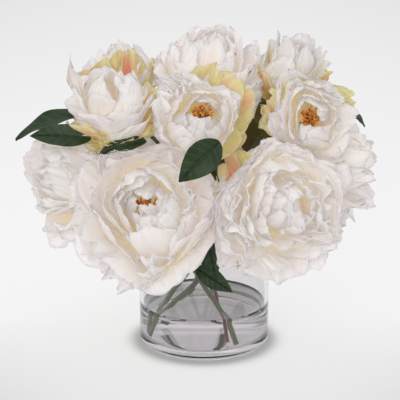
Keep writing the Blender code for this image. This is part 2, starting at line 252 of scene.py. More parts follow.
def table_glow(tree):
    """The table's glow, with painted light and shade: a pool of light behind the vase, painted shade
    at the front corners, a painted contact shadow round the foot and painted shade under it.
    """
    x, y, _ = object_place(tree)
    # painted light: a pool of light behind the vase, fading towards the front and the sides
    ahead = (y - TABLE_BRIGHT_AT) / (size(y - TABLE_BRIGHT_AT) * 0.22 + 0.55)
    ahead = ahead * (ramp(TABLE_BRIGHT_AT - y, 0.25, 0.65) * 4.0 + 1)
    painted_light_pool = bell(calc("SQRT", ahead * ahead * 0.16 + x * x * 1.1), 1.25)
    from_vase = calc("SQRT", x * x + y * y)
    # painted contact shadow round the vase's foot, and painted shade under the vase
    contact = 1 - bell(from_vase - VASE_RADIUS, 0.01) * PAINTED_CONTACT_SHADOW
    under = ramp(from_vase, 0.04, 0.06) * PAINTED_SHADE_UNDER_VASE + (1 - PAINTED_SHADE_UNDER_VASE)
    # painted shade at the front, most at the front corners
    aside = ramp(size(x), 0.02, 0.2)
    painted_front_shade = ramp(0.06 - y, 0.0, 0.2) * (aside * aside * PAINTED_CORNER_SHADE + PAINTED_FRONT_SHADE)
    glow = (painted_light_pool * PAINTED_POOL_GLOW + TABLE_GLOW - painted_front_shade) * (contact * under)
    return vector(tree, glow, glow, glow)


sheet = bpy.data.meshes.new("table")
sheet.from_pydata([(x * TABLE_REACH, y * TABLE_REACH, 0) for x, y in ((-1, -1), (1, -1), (1, 1), (-1, 1))],
                  [], [(0, 1, 2, 3)])
finish, tree, shader = new_finish("pale table")
fill(tree, shader, {"Base Color": (0.25, 0.25, 0.25, 1.0), "Emission Color": table_glow(tree),
                    "Emission Strength": 1.0, "Roughness": 0.9, "Specular IOR Level": 0.1})
sheet.materials.append(finish)
table = add_object("table", sheet, (0.0, 0.0, -0.0002))
table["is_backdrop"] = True
print("table", 2 * TABLE_REACH, "m wide")

# %% [markdown]
# ## Petal finishes
#
# Silk petals are matt and thin, so light comes through them: the folds look warmer and lighter than folds
# in paper would. A faint painted glow, warmest and strongest towards the foot, lifts the shade in the folds
# further. They are dyed: white at the edge, butter yellow towards the foot, with a faint pink streak here
# and there. Each petal carries how far along and across it a point is, so the dye can follow the petal
# wherever it points.

# %% The petals' silk
SILK_GLOW = 0.22
SILK_THROUGH = 0.4
PINK = (0.8, 0.42, 0.52)


def petal_finish(name, edge, body, foot, blush, foot_reach, blush_share):
    """Dyed silk: the foot's colour fades into the body's, the rim has its own, and some petals a blush.

    The silk is thin, and SILK_THROUGH of the light goes through it. Between crowded petals light passes on
    many more times than a render follows, and a faint glow of the silk's colour stands for that: painted
    light, warmest and strongest towards the foot, where the folds lie in shade.
    """
    finish, tree, shader = new_finish(name)
    along, across, seed = carried(tree, "along", "across", "seed")
    mottle = noise(tree, across * 1.3, along * 1.3, seed * 9.0, 2.0)
    fibre = noise(tree, across * 16.0, along * 1.4, seed * 5.0, 2.5, 3.0)
    crease = noise(tree, across * 6.0, along * 1.1, seed * 43.0, 1.0, 2.0)
    dyed = ramp(along + (mottle - 0.5) * 0.5, 0.12, foot_reach)
    rim = most(ramp(along, 0.8, 1.0), ramp(size(across), 0.8, 1.0)) * 0.7
    colour = colour_mix(tree, rim, colour_mix(tree, dyed, foot, body), edge)
    chosen = ramp(noise(tree, seed * 77.0, 0.0, 0.0), 0.42, 0.56)
    patch = bell(across - (seed - 0.5) * 1.2, 0.42) * bell(along - 0.42 - seed * 0.4, 0.26)
    streaks = ramp(noise(tree, across * 7.0, along * 0.8, seed * 31.0, 1.0, 1.0), 0.24, 0.58)
    colour = colour_mix(tree, patch * streaks * chosen * blush_share, colour, blush)
    worn = colour_mix(tree, ramp(fibre, 0.3, 0.7), (0.95, 0.945, 0.94), (1.0, 1.0, 1.0))
    silk = colour_mix(tree, 0.6, colour, worn, "MULTIPLY")
    # painted light: the glow is warmer and stronger towards the foot, to lift the shade in the folds
    painted_fold_glow = colour_mix(tree, dyed, (0.93, 0.845, 0.63), (0.66, 0.635, 0.61))
    fill(tree, shader, {"Base Color": silk, "Emission Color": colour_mix(tree, 1.0, silk, painted_fold_glow, "MULTIPLY"),
                        "Emission Strength": SILK_GLOW, "Normal": bump(tree, crease + fibre * 0.25, 0.0026),
                        "Roughness": 0.62, "Specular IOR Level": 0.2})
    through = add_node(tree, "ShaderNodeBsdfTranslucent", {"Color": silk})
    both = add_node(tree, "ShaderNodeMixShader")
    for socket, value in zip(both.inputs, (SILK_THROUGH, shader.outputs[0], through.outputs[0])):
        plug_in(tree, socket, value)
    fill(tree, tree.nodes["Material Output"], {"Surface": both.outputs[0]})
    return finish


# name, edge, body, foot, blush, how far the foot's colour reaches, how strong the blush is
OUTER_SILK, INNER_SILK, FLUSHED_SILK, BUD_SILK, GUARD_SILK, CALYX_SILK = [petal_finish(*dyes) for dyes in (
    ("outer petal silk", (0.95, 0.93, 0.955), (0.95, 0.935, 0.93), (0.95, 0.885, 0.69), PINK, 0.7, 0.1),
    ("inner petal silk", (0.95, 0.935, 0.95), (0.95, 0.93, 0.91), (0.95, 0.875, 0.66), PINK, 0.78, 0.12),
    ("flushed petal silk", (0.93, 0.91, 0.94), (0.94, 0.915, 0.9), (0.84, 0.76, 0.36), (0.84, 0.36, 0.3),
     0.58, 0.15),
    ("bud petal silk", (0.93, 0.92, 0.95), (0.94, 0.93, 0.93), (0.72, 0.16, 0.12), (0.72, 0.62, 0.22),
     0.66, 0.8),
    ("guard petal silk", (0.91, 0.87, 0.62), (0.86, 0.8, 0.45), (0.5, 0.38, 0.08), (0.88, 0.27, 0.24),
     0.56, 1.0),
    ("calyx green", (0.2, 0.19, 0.06), (0.14, 0.13, 0.04), (0.08, 0.08, 0.03), (0.26, 0.08, 0.04), 0.5, 0.9),
)]
print("petal finishes:", OUTER_SILK.name, "/", INNER_SILK.name, "/", GUARD_SILK.name)

# %% [markdown]
# ## One petal, then hundreds
#
# A petal is a strip of silk pressed in a hot mould: it bends along its length like part of a circle, it is
# hollowed across its width, and its rim is frilled. Modelling each one by hand would take days, and an
# array would make them all alike. Here each petal is one point that carries its own measures, and one
# node tree lays a flat grid on every point and bends it by formula. The points come from a short rule,
# so a bloom can be changed by changing a few numbers.

# %% Helpers for trees that make shapes
def new_tree(name, inputs):
    """An empty tree that takes and gives a shape, with its own inputs: names and kinds."""
    tree = bpy.data.node_groups.new(name, "GeometryNodeTree")
    tree.interface.new_socket("Geometry", in_out="OUTPUT", socket_type="NodeSocketGeometry")
    for label, kind in (("Geometry", "Geometry"), *inputs.items()):
        tree.interface.new_socket(label, in_out="INPUT", socket_type="NodeSocket" + kind)
    return tree, tree.nodes.new("NodeGroupInput").outputs, tree.nodes.new("NodeGroupOutput").inputs[0]


def step(tree, kind, inputs=None, **settings):
    """One Geometry Nodes node, as what it makes."""
    return add_node(tree, "GeometryNode" + kind, inputs, **settings).outputs[0]


def named(tree, *names):
    """Numbers that the mesh carries at each point, in a tree that makes shapes."""
    return [Field(step(tree, "InputNamedAttribute", {"Name": name}, data_type="FLOAT")) for name in names]


def position(tree):
    """Where each point is now, in a tree that makes shapes."""
    return parts(tree, step(tree, "InputPosition"))


def keep_place(tree, shape, **values):
    """Stores fields on a template's points, so that they are still known after it is laid and bent."""
    for name, value in values.items():
        shape = step(tree, "StoreNamedAttribute", {"Geometry": shape, "Name": name, "Value": value},
                     data_type="FLOAT")
    return shape


def flat_grid(tree, given):
    """A flat sheet whose points know how far across (-1 to 1) and along (0 to 1) they are."""
    grid = step(tree, "MeshGrid", {
        "Size X": 2.0, "Size Y": 1.0, "Vertices X": Field(given["Cells across"]) + 1,
        "Vertices Y": Field(given["Cells along"]) + 1})
    x, y, _ = position(tree)
    return keep_place(tree, grid, across=x, along=y + 0.5)


def on_points(tree, given, template):
    """A template laid on every point that the tree is given, as real geometry."""
    laid = step(tree, "InstanceOnPoints", {"Points": given["Geometry"], "Instance": template})
    return step(tree, "RealizeInstances", {"Geometry": laid})


def bend_and_finish(tree, shape, where, finish, result):
    """The end of every tree here: move the points, shade smooth, set the finish."""
    shape = step(tree, "SetPosition", {"Geometry": shape, "Position": vector(tree, *where)})
    shape = step(tree, "SetShadeSmooth", {"Geometry": shape})
    tree.links.new(step(tree, "SetMaterial", {"Geometry": shape, "Material": finish}), result)


def turned_round(out, aside, angle):
    """A place that lies out from an axis and to one side, turned round that axis."""
    return out * cosine(angle) - aside * sine(angle), out * sine(angle) + aside * cosine(angle)


# %% The petal tree
PETAL_MEASURES = (
    "azimuth", "length", "half_width", "foot_angle", "tip_angle", "foot_radius", "foot_height", "side_curl",
    "ruffle", "waves", "cleft", "ragged", "point", "flare", "twist", "dent", "seed",
)
WIDEST_AT = 0.66


def petal_outline(tree, m, u, v):
    """How far along its length and how wide a petal is at a place on its grid."""
    opening = sine(least(u / WIDEST_AT, 1.0) * (math.pi / 2)) ** 0.85
    closing = most(u - WIDEST_AT, 0.0) / (1 - WIDEST_AT)
    width = m["half_width"] * (opening * 0.86 + 0.14) * (1 - closing * closing * (m["point"] * 0.5 + 0.3))
    side = size(v)
    rounded = 1 - (side ** 2.6) * 0.17 + m["point"] * (1 - side) * (1 - side) * 0.22
    wander = (noise(tree, v * 1.3, m["seed"] * 17.0, 0.0) - 0.5) * 0.16
    torn = (noise(tree, v * 3.6, m["seed"] * 13.0, 0.0, 1.0, 1.0) - 0.5) * m["ragged"] * 1.6
    cleft = m["cleft"] * bell(v - (m["seed"] - 0.5) * 0.7, 0.2)
    return u * (rounded + (wander + torn - cleft) * (u ** 5.0)), width


def petal_relief(tree, m, u, v):
    """How far the silk stands off its smooth bend: frilled rim, dents, pleats and a bent-back tip."""
    fan = calc("ARCTAN2", v, u * 0.9 + 0.25)
    drift = noise(tree, v * 1.7, u * 1.7, m["seed"] * 21.0)
    turn = (fan + (drift - 0.5) * 0.35) * m["waves"] * 3.5 + m["seed"] * 40.0
    side = size(v)
    near_rim = (u ** 1.6) * (most(side * side, u ** 5.0) * 0.72 + 0.28)
    frill = (sine(turn) + sine(turn * 2.3 + 1.7) * 0.26) * m["ruffle"] * near_rim
    frill = frill + sine(turn * 5.1 + 0.6) * m["ruffle"] * 0.06 * (u ** 8.0)
    dents = (noise(tree, v * 1.9, u * 2.2, m["seed"] * 57.0 + 3.0) - 0.5) * m["dent"] * u
    pleats = sine(fan * 27.0 + drift * 14.0 + m["seed"] * 30.0) * m["dent"] * 0.03 * ramp(u, 0.25, 0.9)
    back = ramp(u, 0.58, 1.0)
    return frill + dents + pleats - m["flare"] * back * back


def petal_place(m, u, v, reach, width, relief):
    """Where that point ends up: on the petal's circle, hollowed, turned to its side of the bloom."""
    bend = m["tip_angle"] - m["foot_angle"]
    angle = m["foot_angle"] + bend * reach
    out = m["foot_radius"] + m["length"] * (sine(angle) - sine(m["foot_angle"])) / bend
    up = m["foot_height"] + m["length"] * (cosine(m["foot_angle"]) - cosine(angle)) / bend
    hollow = m["half_width"] / m["side_curl"]
    swing = v * width / hollow
    lift = hollow * (1 - cosine(swing)) + relief
    out = out - sine(angle) * lift
    up = up + cosine(angle) * lift
    aside = hollow * sine(swing)
    return (*turned_round(out, aside, m["azimuth"] + m["twist"] * reach), up)


def make_petal_tree():
    tree, given, result = new_tree(
        "petals on points", {"Cells across": "Int", "Cells along": "Int", "Finish": "Material"})
    laid = on_points(tree, given, flat_grid(tree, given))
    m = dict(zip(PETAL_MEASURES, named(tree, *PETAL_MEASURES)))
    u, v = named(tree, "along", "across")
    reach, width = petal_outline(tree, m, u, v)
    where = petal_place(m, u, v, reach, width, petal_relief(tree, m, u, v))
    bend_and_finish(tree, laid, where, given["Finish"], result)
    return tree


PETAL_TREE = make_petal_tree()
print("petal tree:", len(PETAL_TREE.nodes), "nodes")

# %% [markdown]
# ## The blooms' places and habits
#
# A bloom is a place, a direction that it faces and a size, with a habit: how many petals it has, how far
# it has opened and how frilled it is. A wide-open double peony has a ruff of broad petals round a dome of
# crowded ones. A half-open one is a cup of tall petals. The backs of some show yellow-green guard petals.

# %% Table of blooms
# name: centre, facing, radius, front height and back depth as shares of the radius, habit, turn in degrees
BLOOMS = {
    "peony_1": ((-0.052, -0.085, 0.156), (0, -0.88, 0.4), 0.071, 0.68, 0.68, "slit_heart", 20),
    "peony_2": ((0.066, -0.08, 0.159), (0.32, -0.9, 0.22), 0.068, 0.72, 0.68, "double", 70),
    "peony_3": ((0.112, -0.008, 0.177), (0.9, -0.25, 0.25), 0.062, 0.84, 0.72, "ragged", 130),
    "peony_4": ((-0.116, -0.035, 0.171), (-0.66, -0.66, 0.25), 0.057, 0.84, 0.72, "ragged", 200),
    "peony_5": ((0.095, -0.05, 0.233), (0.02, -0.92, 0.28), 0.04, 0.84, 0.74, "cup", 15),
    "peony_6": ((0.08, 0.014, 0.262), (0.2, -0.1, 0.95), 0.04, 0.94, 0.86, "bud", 50),
    "peony_7": ((0.004, 0.01, 0.26), (0.05, -0.3, 0.95), 0.057, 0.8, 0.76, "dome", 310),
    "peony_8": ((-0.005, -0.07, 0.238), (0.14, -0.92, 0.34), 0.044, 0.8, 0.74, "cup", 160),
    "peony_9": ((-0.081, -0.05, 0.245), (-0.12, -0.34, 0.92), 0.045, 0.78, 0.72, "goblet", 110),
    "peony_10": ((-0.08, 0.022, 0.257), (-0.15, 0.25, 0.93), 0.038, 0.84, 0.82, "half_open", 250),
    "peony_11": ((-0.092, 0.068, 0.168), (-0.65, 0.7, 0.25), 0.058, 0.8, 0.7, "double", 95),
    "peony_12": ((0.084, 0.076, 0.17), (0.7, 0.65, 0.25), 0.058, 0.78, 0.7, "open_heart", 280),
    "peony_13": ((-0.004, 0.106, 0.166), (0, 0.95, 0.25), 0.057, 0.8, 0.7, "ragged", 35),
    "peony_14": ((0.002, 0.084, 0.241), (0.05, 0.72, 0.68), 0.042, 0.86, 0.74, "double", 145),
}
GREEN_BACKED = ("peony_5", "peony_8", "peony_9", "peony_10")
# how much a bloom's petals crowd at its left and right sides
GATHERED = {"peony_2": 0.34}
# Walls that a neighbour's leaf or guard petals need: direction, distance from the centre, the parts they stop
BOTH = ("outer", "inner")
NOTCHED = {
    "peony_1": (((-0.1, 0.2, 0.95), 0.061, BOTH), ((0.7, -0.45, -0.6), 0.056, ("inner",)),
                ((0.75, 0, -0.66), 0.064, ("outer",))),
    "peony_2": (((-0.62, -0.1, 0.78), 0.05, BOTH), ((1, 0, 0), 0.06, BOTH)),
    "peony_8": (((0.8, 0, -0.6), 0.03, BOTH),),
}
print(len(BLOOMS), "blooms")

# %% Rings of petals
# A row is a ring: the part it belongs to, how many petals, and from and to which height angle their tips
# stand (0 is level with the centre, 90 straight in front). Then comes a petal's shape: half width, cupping in
# degrees (less than 0 bends it back), bent-back tip, frill, waves, cleft, torn edge and point. Lengths are
# shares of the bloom's radius. A row that stops early goes on like the row above it.


def read_table(text):
    """The rows of a table, by the name above them. Each is a part's name and its numbers."""
    groups, numbers = {}, []
    for line in text.split("\n"):
        name, *words = line.split()
        if words:
            numbers = [float(word) for word in words] + numbers[len(words):]
            rows.append((name, *numbers))
        else:
            rows = groups[name] = []
    return groups


HABITS = read_table("""double
outer 8 -20 -4 .54 10 .12 .034 2 .02 .03 0
outer 8 0 14 .54 14 .12 .036
outer 8 16 30 .54 18 .11 .036 2.2 .03
inner 8 32 46 .52 24 .09 .038
inner 8 48 62 .48 34 .06
inner 7 64 80 .44 46 .03 .034
inner 5 82 98 .4 56 0 .03 2
open_heart
outer 6 -18 -2 .6 10 .1 .032 2 .02
outer 7 2 14 .58 14 .09
outer 7 18 30 .56 18 .08
inner 7 32 44 .54 26 .05 .03
inner 7 46 56 .5 38 .03 .026 1.8
inner 6 60 72 .46 48 .01 .02 1.6 .02 .02
inner 5 72 80 .44 56 0 .016 1.4
slit_heart
outer 8 -20 -4 .52 10 .12 .034 2 .02 .03
outer 8 0 12 .52 14
outer 8 14 26 .5 18 .11
inner 9 28 40 .48 24 .08
inner 9 42 54 .46 32 .05 .03
ragged
outer 7 -18 -2 .6 12 .12 .036 2.2 .03 .05
outer 7 2 14 .6 16 .12 .038 2.4
outer 7 18 30 .6 24 .1 .04
inner 7 32 46 .6 34 .08 .036 2.2 .03 .04
inner 7 48 62 .58 44 .05 .03 2 .03 .03
inner 6 64 78 .56 52 .03 .026 1.8 .02
inner 5 80 94 .5 58 .02 .024 1.6
dome
outer 8 -18 -2 .5 10 .1 .05 3 .03 .06
outer 8 0 12 .5 14 .08
outer 8 14 26 .52 20 .06 .046 2.6 .03 .05
inner 7 28 42 .58 32 .05 .036 2.2 .03 .04
inner 6 46 58 .64 46 .02 .026 1.8 .02 .03
inner 6 62 74 .66 56 0 .022 1.6
inner 5 78 92 .58 62
cup
outer 6 -12 4 .62 20 .08 .028
outer 6 8 22 .62 28 .07 .024
inner 6 26 40 .58 38 .05 .022 1.6 .02 .02
inner 6 44 56 .54 48 .04 .018 1.4
inner 6 60 70 .5 54 .02 .012 1.2
inner 5 77 81 .42 58 0 .008 1
half_open
outer 5 -4 12 .62 24 .06 .03 1.8 .02 .03 .1
outer 5 16 32 .62 32 .05 .03 1.8 .02 .03 0
inner 6 36 52 .6 42 .04 .028
inner 6 54 70 .56 52 .03 .026
inner 5 72 86 .5 58 .01 .024 1.6
inner 3 88 96 .44 60 0 .02 1.4
goblet
outer 4 14 30 .66 34 .04
inner 5 36 50 .64 42 .02 .018
inner 5 54 66 .58 50 0
inner 5 70 84 .52 58
bud
inner 4 56 66 .44 40 .02 .01 1.2 .02 .02 .1
inner 4 68 78 .42 46 .02 .01 1.2 .02 .02 0
inner 3 80 88 .38 50 0
outer 5 24 40 .58 26 0 .014 1.6 0 .02 .1
guard
guard 5 -34 -20 .54 16 .1 .036 1.6 .03 .05 0
guard 5 -16 2 .62 20 .08
calyx
calyx 5 -74 -58 .2 20 0 .01 1 0 .02 .8""")
GOLDEN_TURN = math.pi * (3 - math.sqrt(5))
PART_NAMES = ("outer", "inner", "guard", "calyx")
print(len(HABITS), "sets of rings")

# %% Petals set one by one
# A row is a petal: its part, the side of the bloom it stands on as a direction (x, y, z), its tip's height
# angle, how far it reaches, and its shape as in a ring. Broad calyx rows are sepals made large and dark to
# fill gaps where there is shade between the blooms: real sepals, and painted shade.
FEATURE_PETALS = read_table("""peony_1
outer .8 0 -1 -20 1.08 .5 6 .02 .008 1 0 .02 0
inner -1 0 -.6 54 1.02 .48 46 .06 .018 1.4 .02
inner -.2 0 1 56 1 .52 40 .08 .02
inner .8 0 .8 58 1 .48 42 .06
inner 1 0 -.25 56 1 .48 44
inner 1 0 -.8 44 1.04 .4 44 .05 .016
inner 1 0 .1 38 1.04 .46 46 .02 .014
inner -1 0 .5 52 1.04 .52 30 .03 .012 1.2
inner -1 0 -.1 62 1.04 .5 34 .03 .008
inner -1 0 .2 71 1.02 .44 38 .02
inner -.4 0 1 73 1.04 .42 44 .03 .01
inner .7 0 .8 74 1.05 .42 44 .03 .008
inner 1 0 -.3 74 1.06
inner .1 0 -1 70 1.05 .58 52 .04 .004 1 .01
inner -1 0 .1 78 1 .4 44 .02 .008 1 .02
inner -.7 0 .9 78 .98 .38
inner 1 0 .1 78 .98 .36
inner .8 0 -.8 77 .98 .38
inner -.8 0 -.7 76 1 .4
inner 1 0 .4 80 .92 .28 40 0
inner -1
inner 0 0 -1 80 .91
inner .05 0 1 86 .99 .25 44 0 .008 1.4
inner 1 0 -.8 87 1 .22 46 0 .006 1
inner -.9 0 -.8 87 .99
peony_2
outer -1 0 .45 24 1.06 .34 16 .04 .02 1.4 .02 .03 .7
outer -.3 0 1 20 1.06 .34 16 .04 .026 1.8 .02 .03 .5
inner -1 0 .1 40 1.02 .4 20 .04 .02 1.4 .02 .02 .2
inner -1 0 -.3 52 1.02 .44 24 .04 .02 1.4 .02 .02 .1
inner -1 0 .3 64 1.02 .44 26 .04 .02 1.4 .02 .02 0
inner -1 0 -.8 36 1.02 .4 20 .04 .02 1.4 .02 .02 .1
inner 1 0 .35 54 1.02 .56 56 0 .01 1.2 .02 .02 0
inner 1 0 -.6 50 1.02 .5 50 0 .014 1.4
outer -.3 0 -1 -14 1.02 .4 12 .02 .014 1.4 .02 .02 .2
guard -1 0 0 -4 .98 .26 10 .04 .06 2.4 .04 .1 .3
guard -.8 0 .8 0 .98 .28 10 .04 .06 2.4 .04 .1 .2
guard -.6 0 -1 -18 1.04 .24 10 .02 .02 1.4 .02 .03 .4
outer -1 0 -.8 -4 1.12 .46 14 .06 .02 1.6 .02 .03 .2
outer -.6 0 -1 -16 1.16 .46 12
peony_5
outer -.6 0 1 4 1.05 .62 20 .06 .02 1.4 .02 .02 0
guard 1 0 .7 2 1.14 .42 16 .04 .03 2 .03 .04
guard 1 0 .2 -8 1.06
calyx -1 0 .1 -30 1.4 .5 10 0 .02 1.6 .02 .04 .2
calyx -1 0 -.5 -34 1.45
guard -1 0 .3 -2 1.12 .36 16 .08 .05 2.6 .03 .08 0
peony_6
outer -.8 -1 0 68 1.2 .46 14 0 .004 1 0 .01 .2
outer .5 -1 0 62 1.08 .46 16 .01 .006 1.2 0 .01 .1
outer 1 -.3 0 50 1.12 .44 16 .02 .006 1.2 0 .01 .3
outer -1 .3 0 60 1.1 .46 18 .01 .006 1.2 0 .01 .2
outer .3 1 0 68 1.14 .52 16 .01 .006 1.2 0 .01 .1
outer .8 .8 0 62 1.08 .46
guard 1 -.5 0 30 1.1 .4 30 .05 .04 2.2 .03 .04 0
guard -1 -.7 0 14 1.06 .52 20 .06 .03 1.8 .02 .06 .1
guard -1 -.3 0 -10 1.16 .56
outer -.3 -1 0 24 1 .46 24 .04 .02 1.6 .02 .03
calyx -.5 -.8 0 -30 1.15 .5 10 .02 .02 1.6 .02 .04 .4
calyx -1 -.6 0 -46 1.2
calyx 0 -1 0 -48
peony_7
outer 1 -.3 0 26 1.14 .54 20 .06 .03 1.8 .03 .04 0
outer 1 .4 0 34
peony_8
outer -1 0 .9 16 1.1 .56 16 .1 .06 3 .04 .05
outer -.5 0 1 24 1.1 .54 18
outer -1 0 .3 26 1.08 .54 20
inner -.8 0 .8 36 1.08 .52 24 .1 .055 3 .04 .04
inner -.2 0 1 44 1.04 .5 26 .08 .05 2.8
guard .4 0 1 14 1.08 .52 24 .08 .034 1.6 .02 .05
guard 1 0 .9 12 1.18 .54 20 .08 .036
guard 1 0 .1 8 1.3 .5 20 .12 .04 2 .02 .12
guard 1 0 -.6 2 1.24 .46
guard 1 0 -1.5 -8 1.14 .34 20 .1 .06 2.2 .02 .08
calyx 1 0 -.5 -20 1.2 .44 10 .02 .02 1.6 .02 .04 .2
calyx 1 0 -1 -26 1.3 .5
calyx 1 0 0 -36 1.3 .44
peony_9
outer -1 .6 0 44 1.24 .4 16 0 .006 1 0 .02 .7
outer -1 -.8 0 20 1.14 .42 18 .02 .008
outer -.5 -1 0 30 .98 .66 46 .02 .01 1.2 .02 .02 0
outer .5 -1 0 8 1.02 .6 40 .04 .014 1.4
outer 1 -.5 0 30
guard -1 -.5 0 -14 1.26 .4 16 .14 .06 2.2 .03 .06
guard -.6 -1 0 -20 1.26 .4 16 .18 .065
guard -.1 -1 0 -22 1.28
guard .4 -1 0 -18
guard .9 -1 0 -14 1.26 .4 16 .16
guard 1 -.3 0 -8 1.22 .36 20 .12 .06
peony_10
guard -1 .1 0 10 1.2 .44 30 .08 .048 1.8 .04
guard -1 -.6 0 20 1.16 .46
guard -.5 -1 0 30 1.12 .46 32
guard .1 -1 0 40 1.1 .46 34
guard .7 -1 0 38 1.12 .46 32
guard 1 -.4 0 28 1.16 .44 30
guard 1 .2 0 20 1.18
peony_12
calyx -.4 .1 1 -12 1.22 .6 10 .02 .02 1.6 .02 .04 .2
calyx -.8 .3 .7 -16
calyx -1 0 .1 -20
peony_13
inner 1 0 .3 84 .84 .34 44 0 .01 1.4 .02 .02 0
inner -1 0 .4 86 .82
inner .1 0 -1 83 .8 .38 46""")
print(sum(map(len, FEATURE_PETALS.values())), "petals set by hand")

# %% [markdown]
# ## From a habit to petals
#
# A petal starts at the bloom's foot and ends where its ring says. Its middle line is an arc of a circle
# through both, and the cupping says how much of a circle. Each next petal is turned by the golden angle,
# which is how real petals share the room. Every measure wanders a little, from a fixed seed.

# %% Petals of a bloom
ROOM_RIGHT = (1, 0, 0)
SEPAL_TURN = 1.26  # a fifth of a turn


def chance_for(bloom, salt):
    """A bloom's own random numbers, the same each time."""
    return np.random.default_rng(int(bloom.split("_")[1]) * salt)


def petal_measures(radius, front, back, tip_angle, azimuth, shape, chance, reach=1.0):
    """One petal's PETAL_MEASURES, from its ring's or its own shape (half width to point) and chance."""
    half_width, cupping, flare, frill, waves, cleft, ragged, point = shape
    depth = front if tip_angle > 0 else back
    tip_radius = radius * math.cos(tip_angle) * reach
    tip_height = radius * depth * math.sin(tip_angle) * reach
    foot_radius = radius * 0.05
    foot_height = -radius * back * 0.86
    across, up = tip_radius - foot_radius, tip_height - foot_height
    chord_angle = math.atan2(up, across)
    cupping = math.copysign(max(abs(cupping), 3.0), cupping)
    bend = math.radians(cupping)
    wide = radius * half_width
    hollowed = math.copysign(min(max(abs(cupping) / 20, 0.15), 1.0), cupping)
    middle_radius = max(tip_radius * 0.75, radius * 0.2)
    return (
        azimuth, math.hypot(across, up) * bend / math.sin(bend), wide,  # length, half width
        chord_angle - bend, chord_angle + bend, foot_radius, foot_height,
        hollowed * min(wide / middle_radius, 1.25) * chance.uniform(0.75, 1.1),  # side curl
        radius * frill * chance.uniform(0.8, 2.0), waves * chance.uniform(0.8, 1.25),
        cleft * chance.uniform(0.0, 2.0), ragged * chance.uniform(0.6, 1.4), point * chance.uniform(0.6, 1.4),
        radius * flare * chance.uniform(-0.4, 2.0), chance.uniform(-0.25, 0.25),  # flare, twist
        radius * (0.12 + frill * 7.0) * chance.uniform(0.6, 1.4), chance.uniform(0.0, 1.0))  # dent, seed


def bloom_turn(name):
    """Turns and moves a bloom made round +Z at the origin to its place."""
    centre, facing, *_ = BLOOMS[name]
    return Matrix.Translation(centre) @ Vector(facing).to_track_quat("Z", "Y").to_matrix().to_4x4()


def side_azimuth(name, side):
    """How far round a bloom's own axis a direction of the room lies."""
    local = bloom_turn(name).to_3x3().inverted() @ Vector(side)
    return math.atan2(local.y, local.x)


def ring_petal(name, ring, tip_degrees, azimuth, chance):
    """One petal of a ring, a little off the ring's numbers."""
    _, _, radius, front, back, _, _ = BLOOMS[name]
    half_width, cupping, *rest = ring[4:]
    shape = (half_width * chance.uniform(0.72, 1.2), cupping + chance.uniform(-18.0, 8.0), *rest)
    spread = 12.0 - 0.08 * max(tip_degrees, 0.0)  # inner petals stand closer to their ring's angle
    tip_angle = math.radians(tip_degrees + chance.uniform(-spread, spread))
    return petal_measures(radius, front, back, tip_angle, azimuth + chance.uniform(-0.4, 0.4), shape,
                          chance, chance.uniform(0.9, 1.05))


def bloom_petals(name):
    """All petals of a bloom, sorted into its parts."""
    _, _, radius, front, back, habit, turn = BLOOMS[name]
    chance = chance_for(name, 101)
    petals = {part: [] for part in PART_NAMES}
    azimuth = math.radians(turn)
    level = side_azimuth(name, ROOM_RIGHT)
    for ring in [*(HABITS["guard"] if name in GREEN_BACKED else ()), *HABITS[habit]]:
        part, count, low, high = ring[:4]
        for i in range(int(count)):
            azimuth += GOLDEN_TURN
            gathered = azimuth - GATHERED.get(name, 0.0) * math.sin(2 * (azimuth - level))
            tip_degrees = low + (high - low) * (i + 0.5) / count
            petals[part].append(ring_petal(name, ring, tip_degrees, gathered, chance))
    for part, x, y, z, tip_degrees, reach, *shape in FEATURE_PETALS.get(name, ()):
        petals[part].append(petal_measures(radius, front, back, math.radians(tip_degrees),
                                           side_azimuth(name, (x, y, z)), shape, chance, reach))
    sepals = HABITS["calyx"][0]
    for i in range(int(sepals[1])):
        petals["calyx"].append(ring_petal(name, sepals, chance.uniform(*sepals[2:4]), i * SEPAL_TURN, chance))
    return petals


def points_that_carry(rows, measures):
    """An object of loose points, each with its row of measures, in the order of their names."""
    mesh = bpy.data.meshes.new("points")
    mesh.from_pydata([(0.0, 0.0, 0.0)] * len(rows), [], [])
    for at, measure in enumerate(measures):
        carrier = mesh.attributes.new(measure, "FLOAT", "POINT")
        carrier.data.foreach_set("value", [row[at] for row in rows])
    return add_object("points", mesh)


# %% [markdown]
# ## Room for the neighbours
#
# Fourteen heads in a small vase press on each other. Halfway between two heads is a flat wall that
# neither crosses, and the same goes for the glass. A petal that would cross a wall is bent short of it:
# its distance from the bloom's centre is squeezed, more the closer it comes, so layers keep their order.

# %% Pressing blooms together
SOFTNESS = 0.3
CRUMPLE_WAVES = 7
CRUMPLE_DEPTH = 0.032
NEIGHBOUR_SLACK = 0.003
GLASS_GAP = 0.001
PRESSING_REACH = 1.4  # a neighbour's wall counts when it is closer than this many radii
FRONT_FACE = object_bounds()[0].y - 0.011


def pressing_walls(name, part):
    """The walls round a part of a bloom: (direction, distance from the bloom's centre)."""
    centre, _, radius, *_ = BLOOMS[name]
    centre = Vector(centre)
    flat = Vector((centre.x, centre.y, 0.0))
    on_glass = flat.normalized() * VASE_RADIUS
    on_glass.z = min(centre.z, VASE_TOP)
    to_glass = on_glass - centre
    walls = [(to_glass.normalized(), to_glass.length - GLASS_GAP)] if flat.length > VASE_RADIUS else []
    walls.append((Vector((0.0, -1.0, 0.0)), centre.y - FRONT_FACE))
    for direction, reach, stopped in NOTCHED.get(name, ()):
        if part in stopped:
            walls.append((Vector(direction).normalized(), reach))
    for other, (place_at, _, other_radius, *_) in BLOOMS.items():
        if other != name:
            towards = Vector(place_at) - centre
            span = towards.length
            middle = (span * span + radius * radius - other_radius * other_radius) / (2 * span)
            if middle < PRESSING_REACH * radius:
                walls.append((towards.normalized(), middle + NEIGHBOUR_SLACK))
    return walls


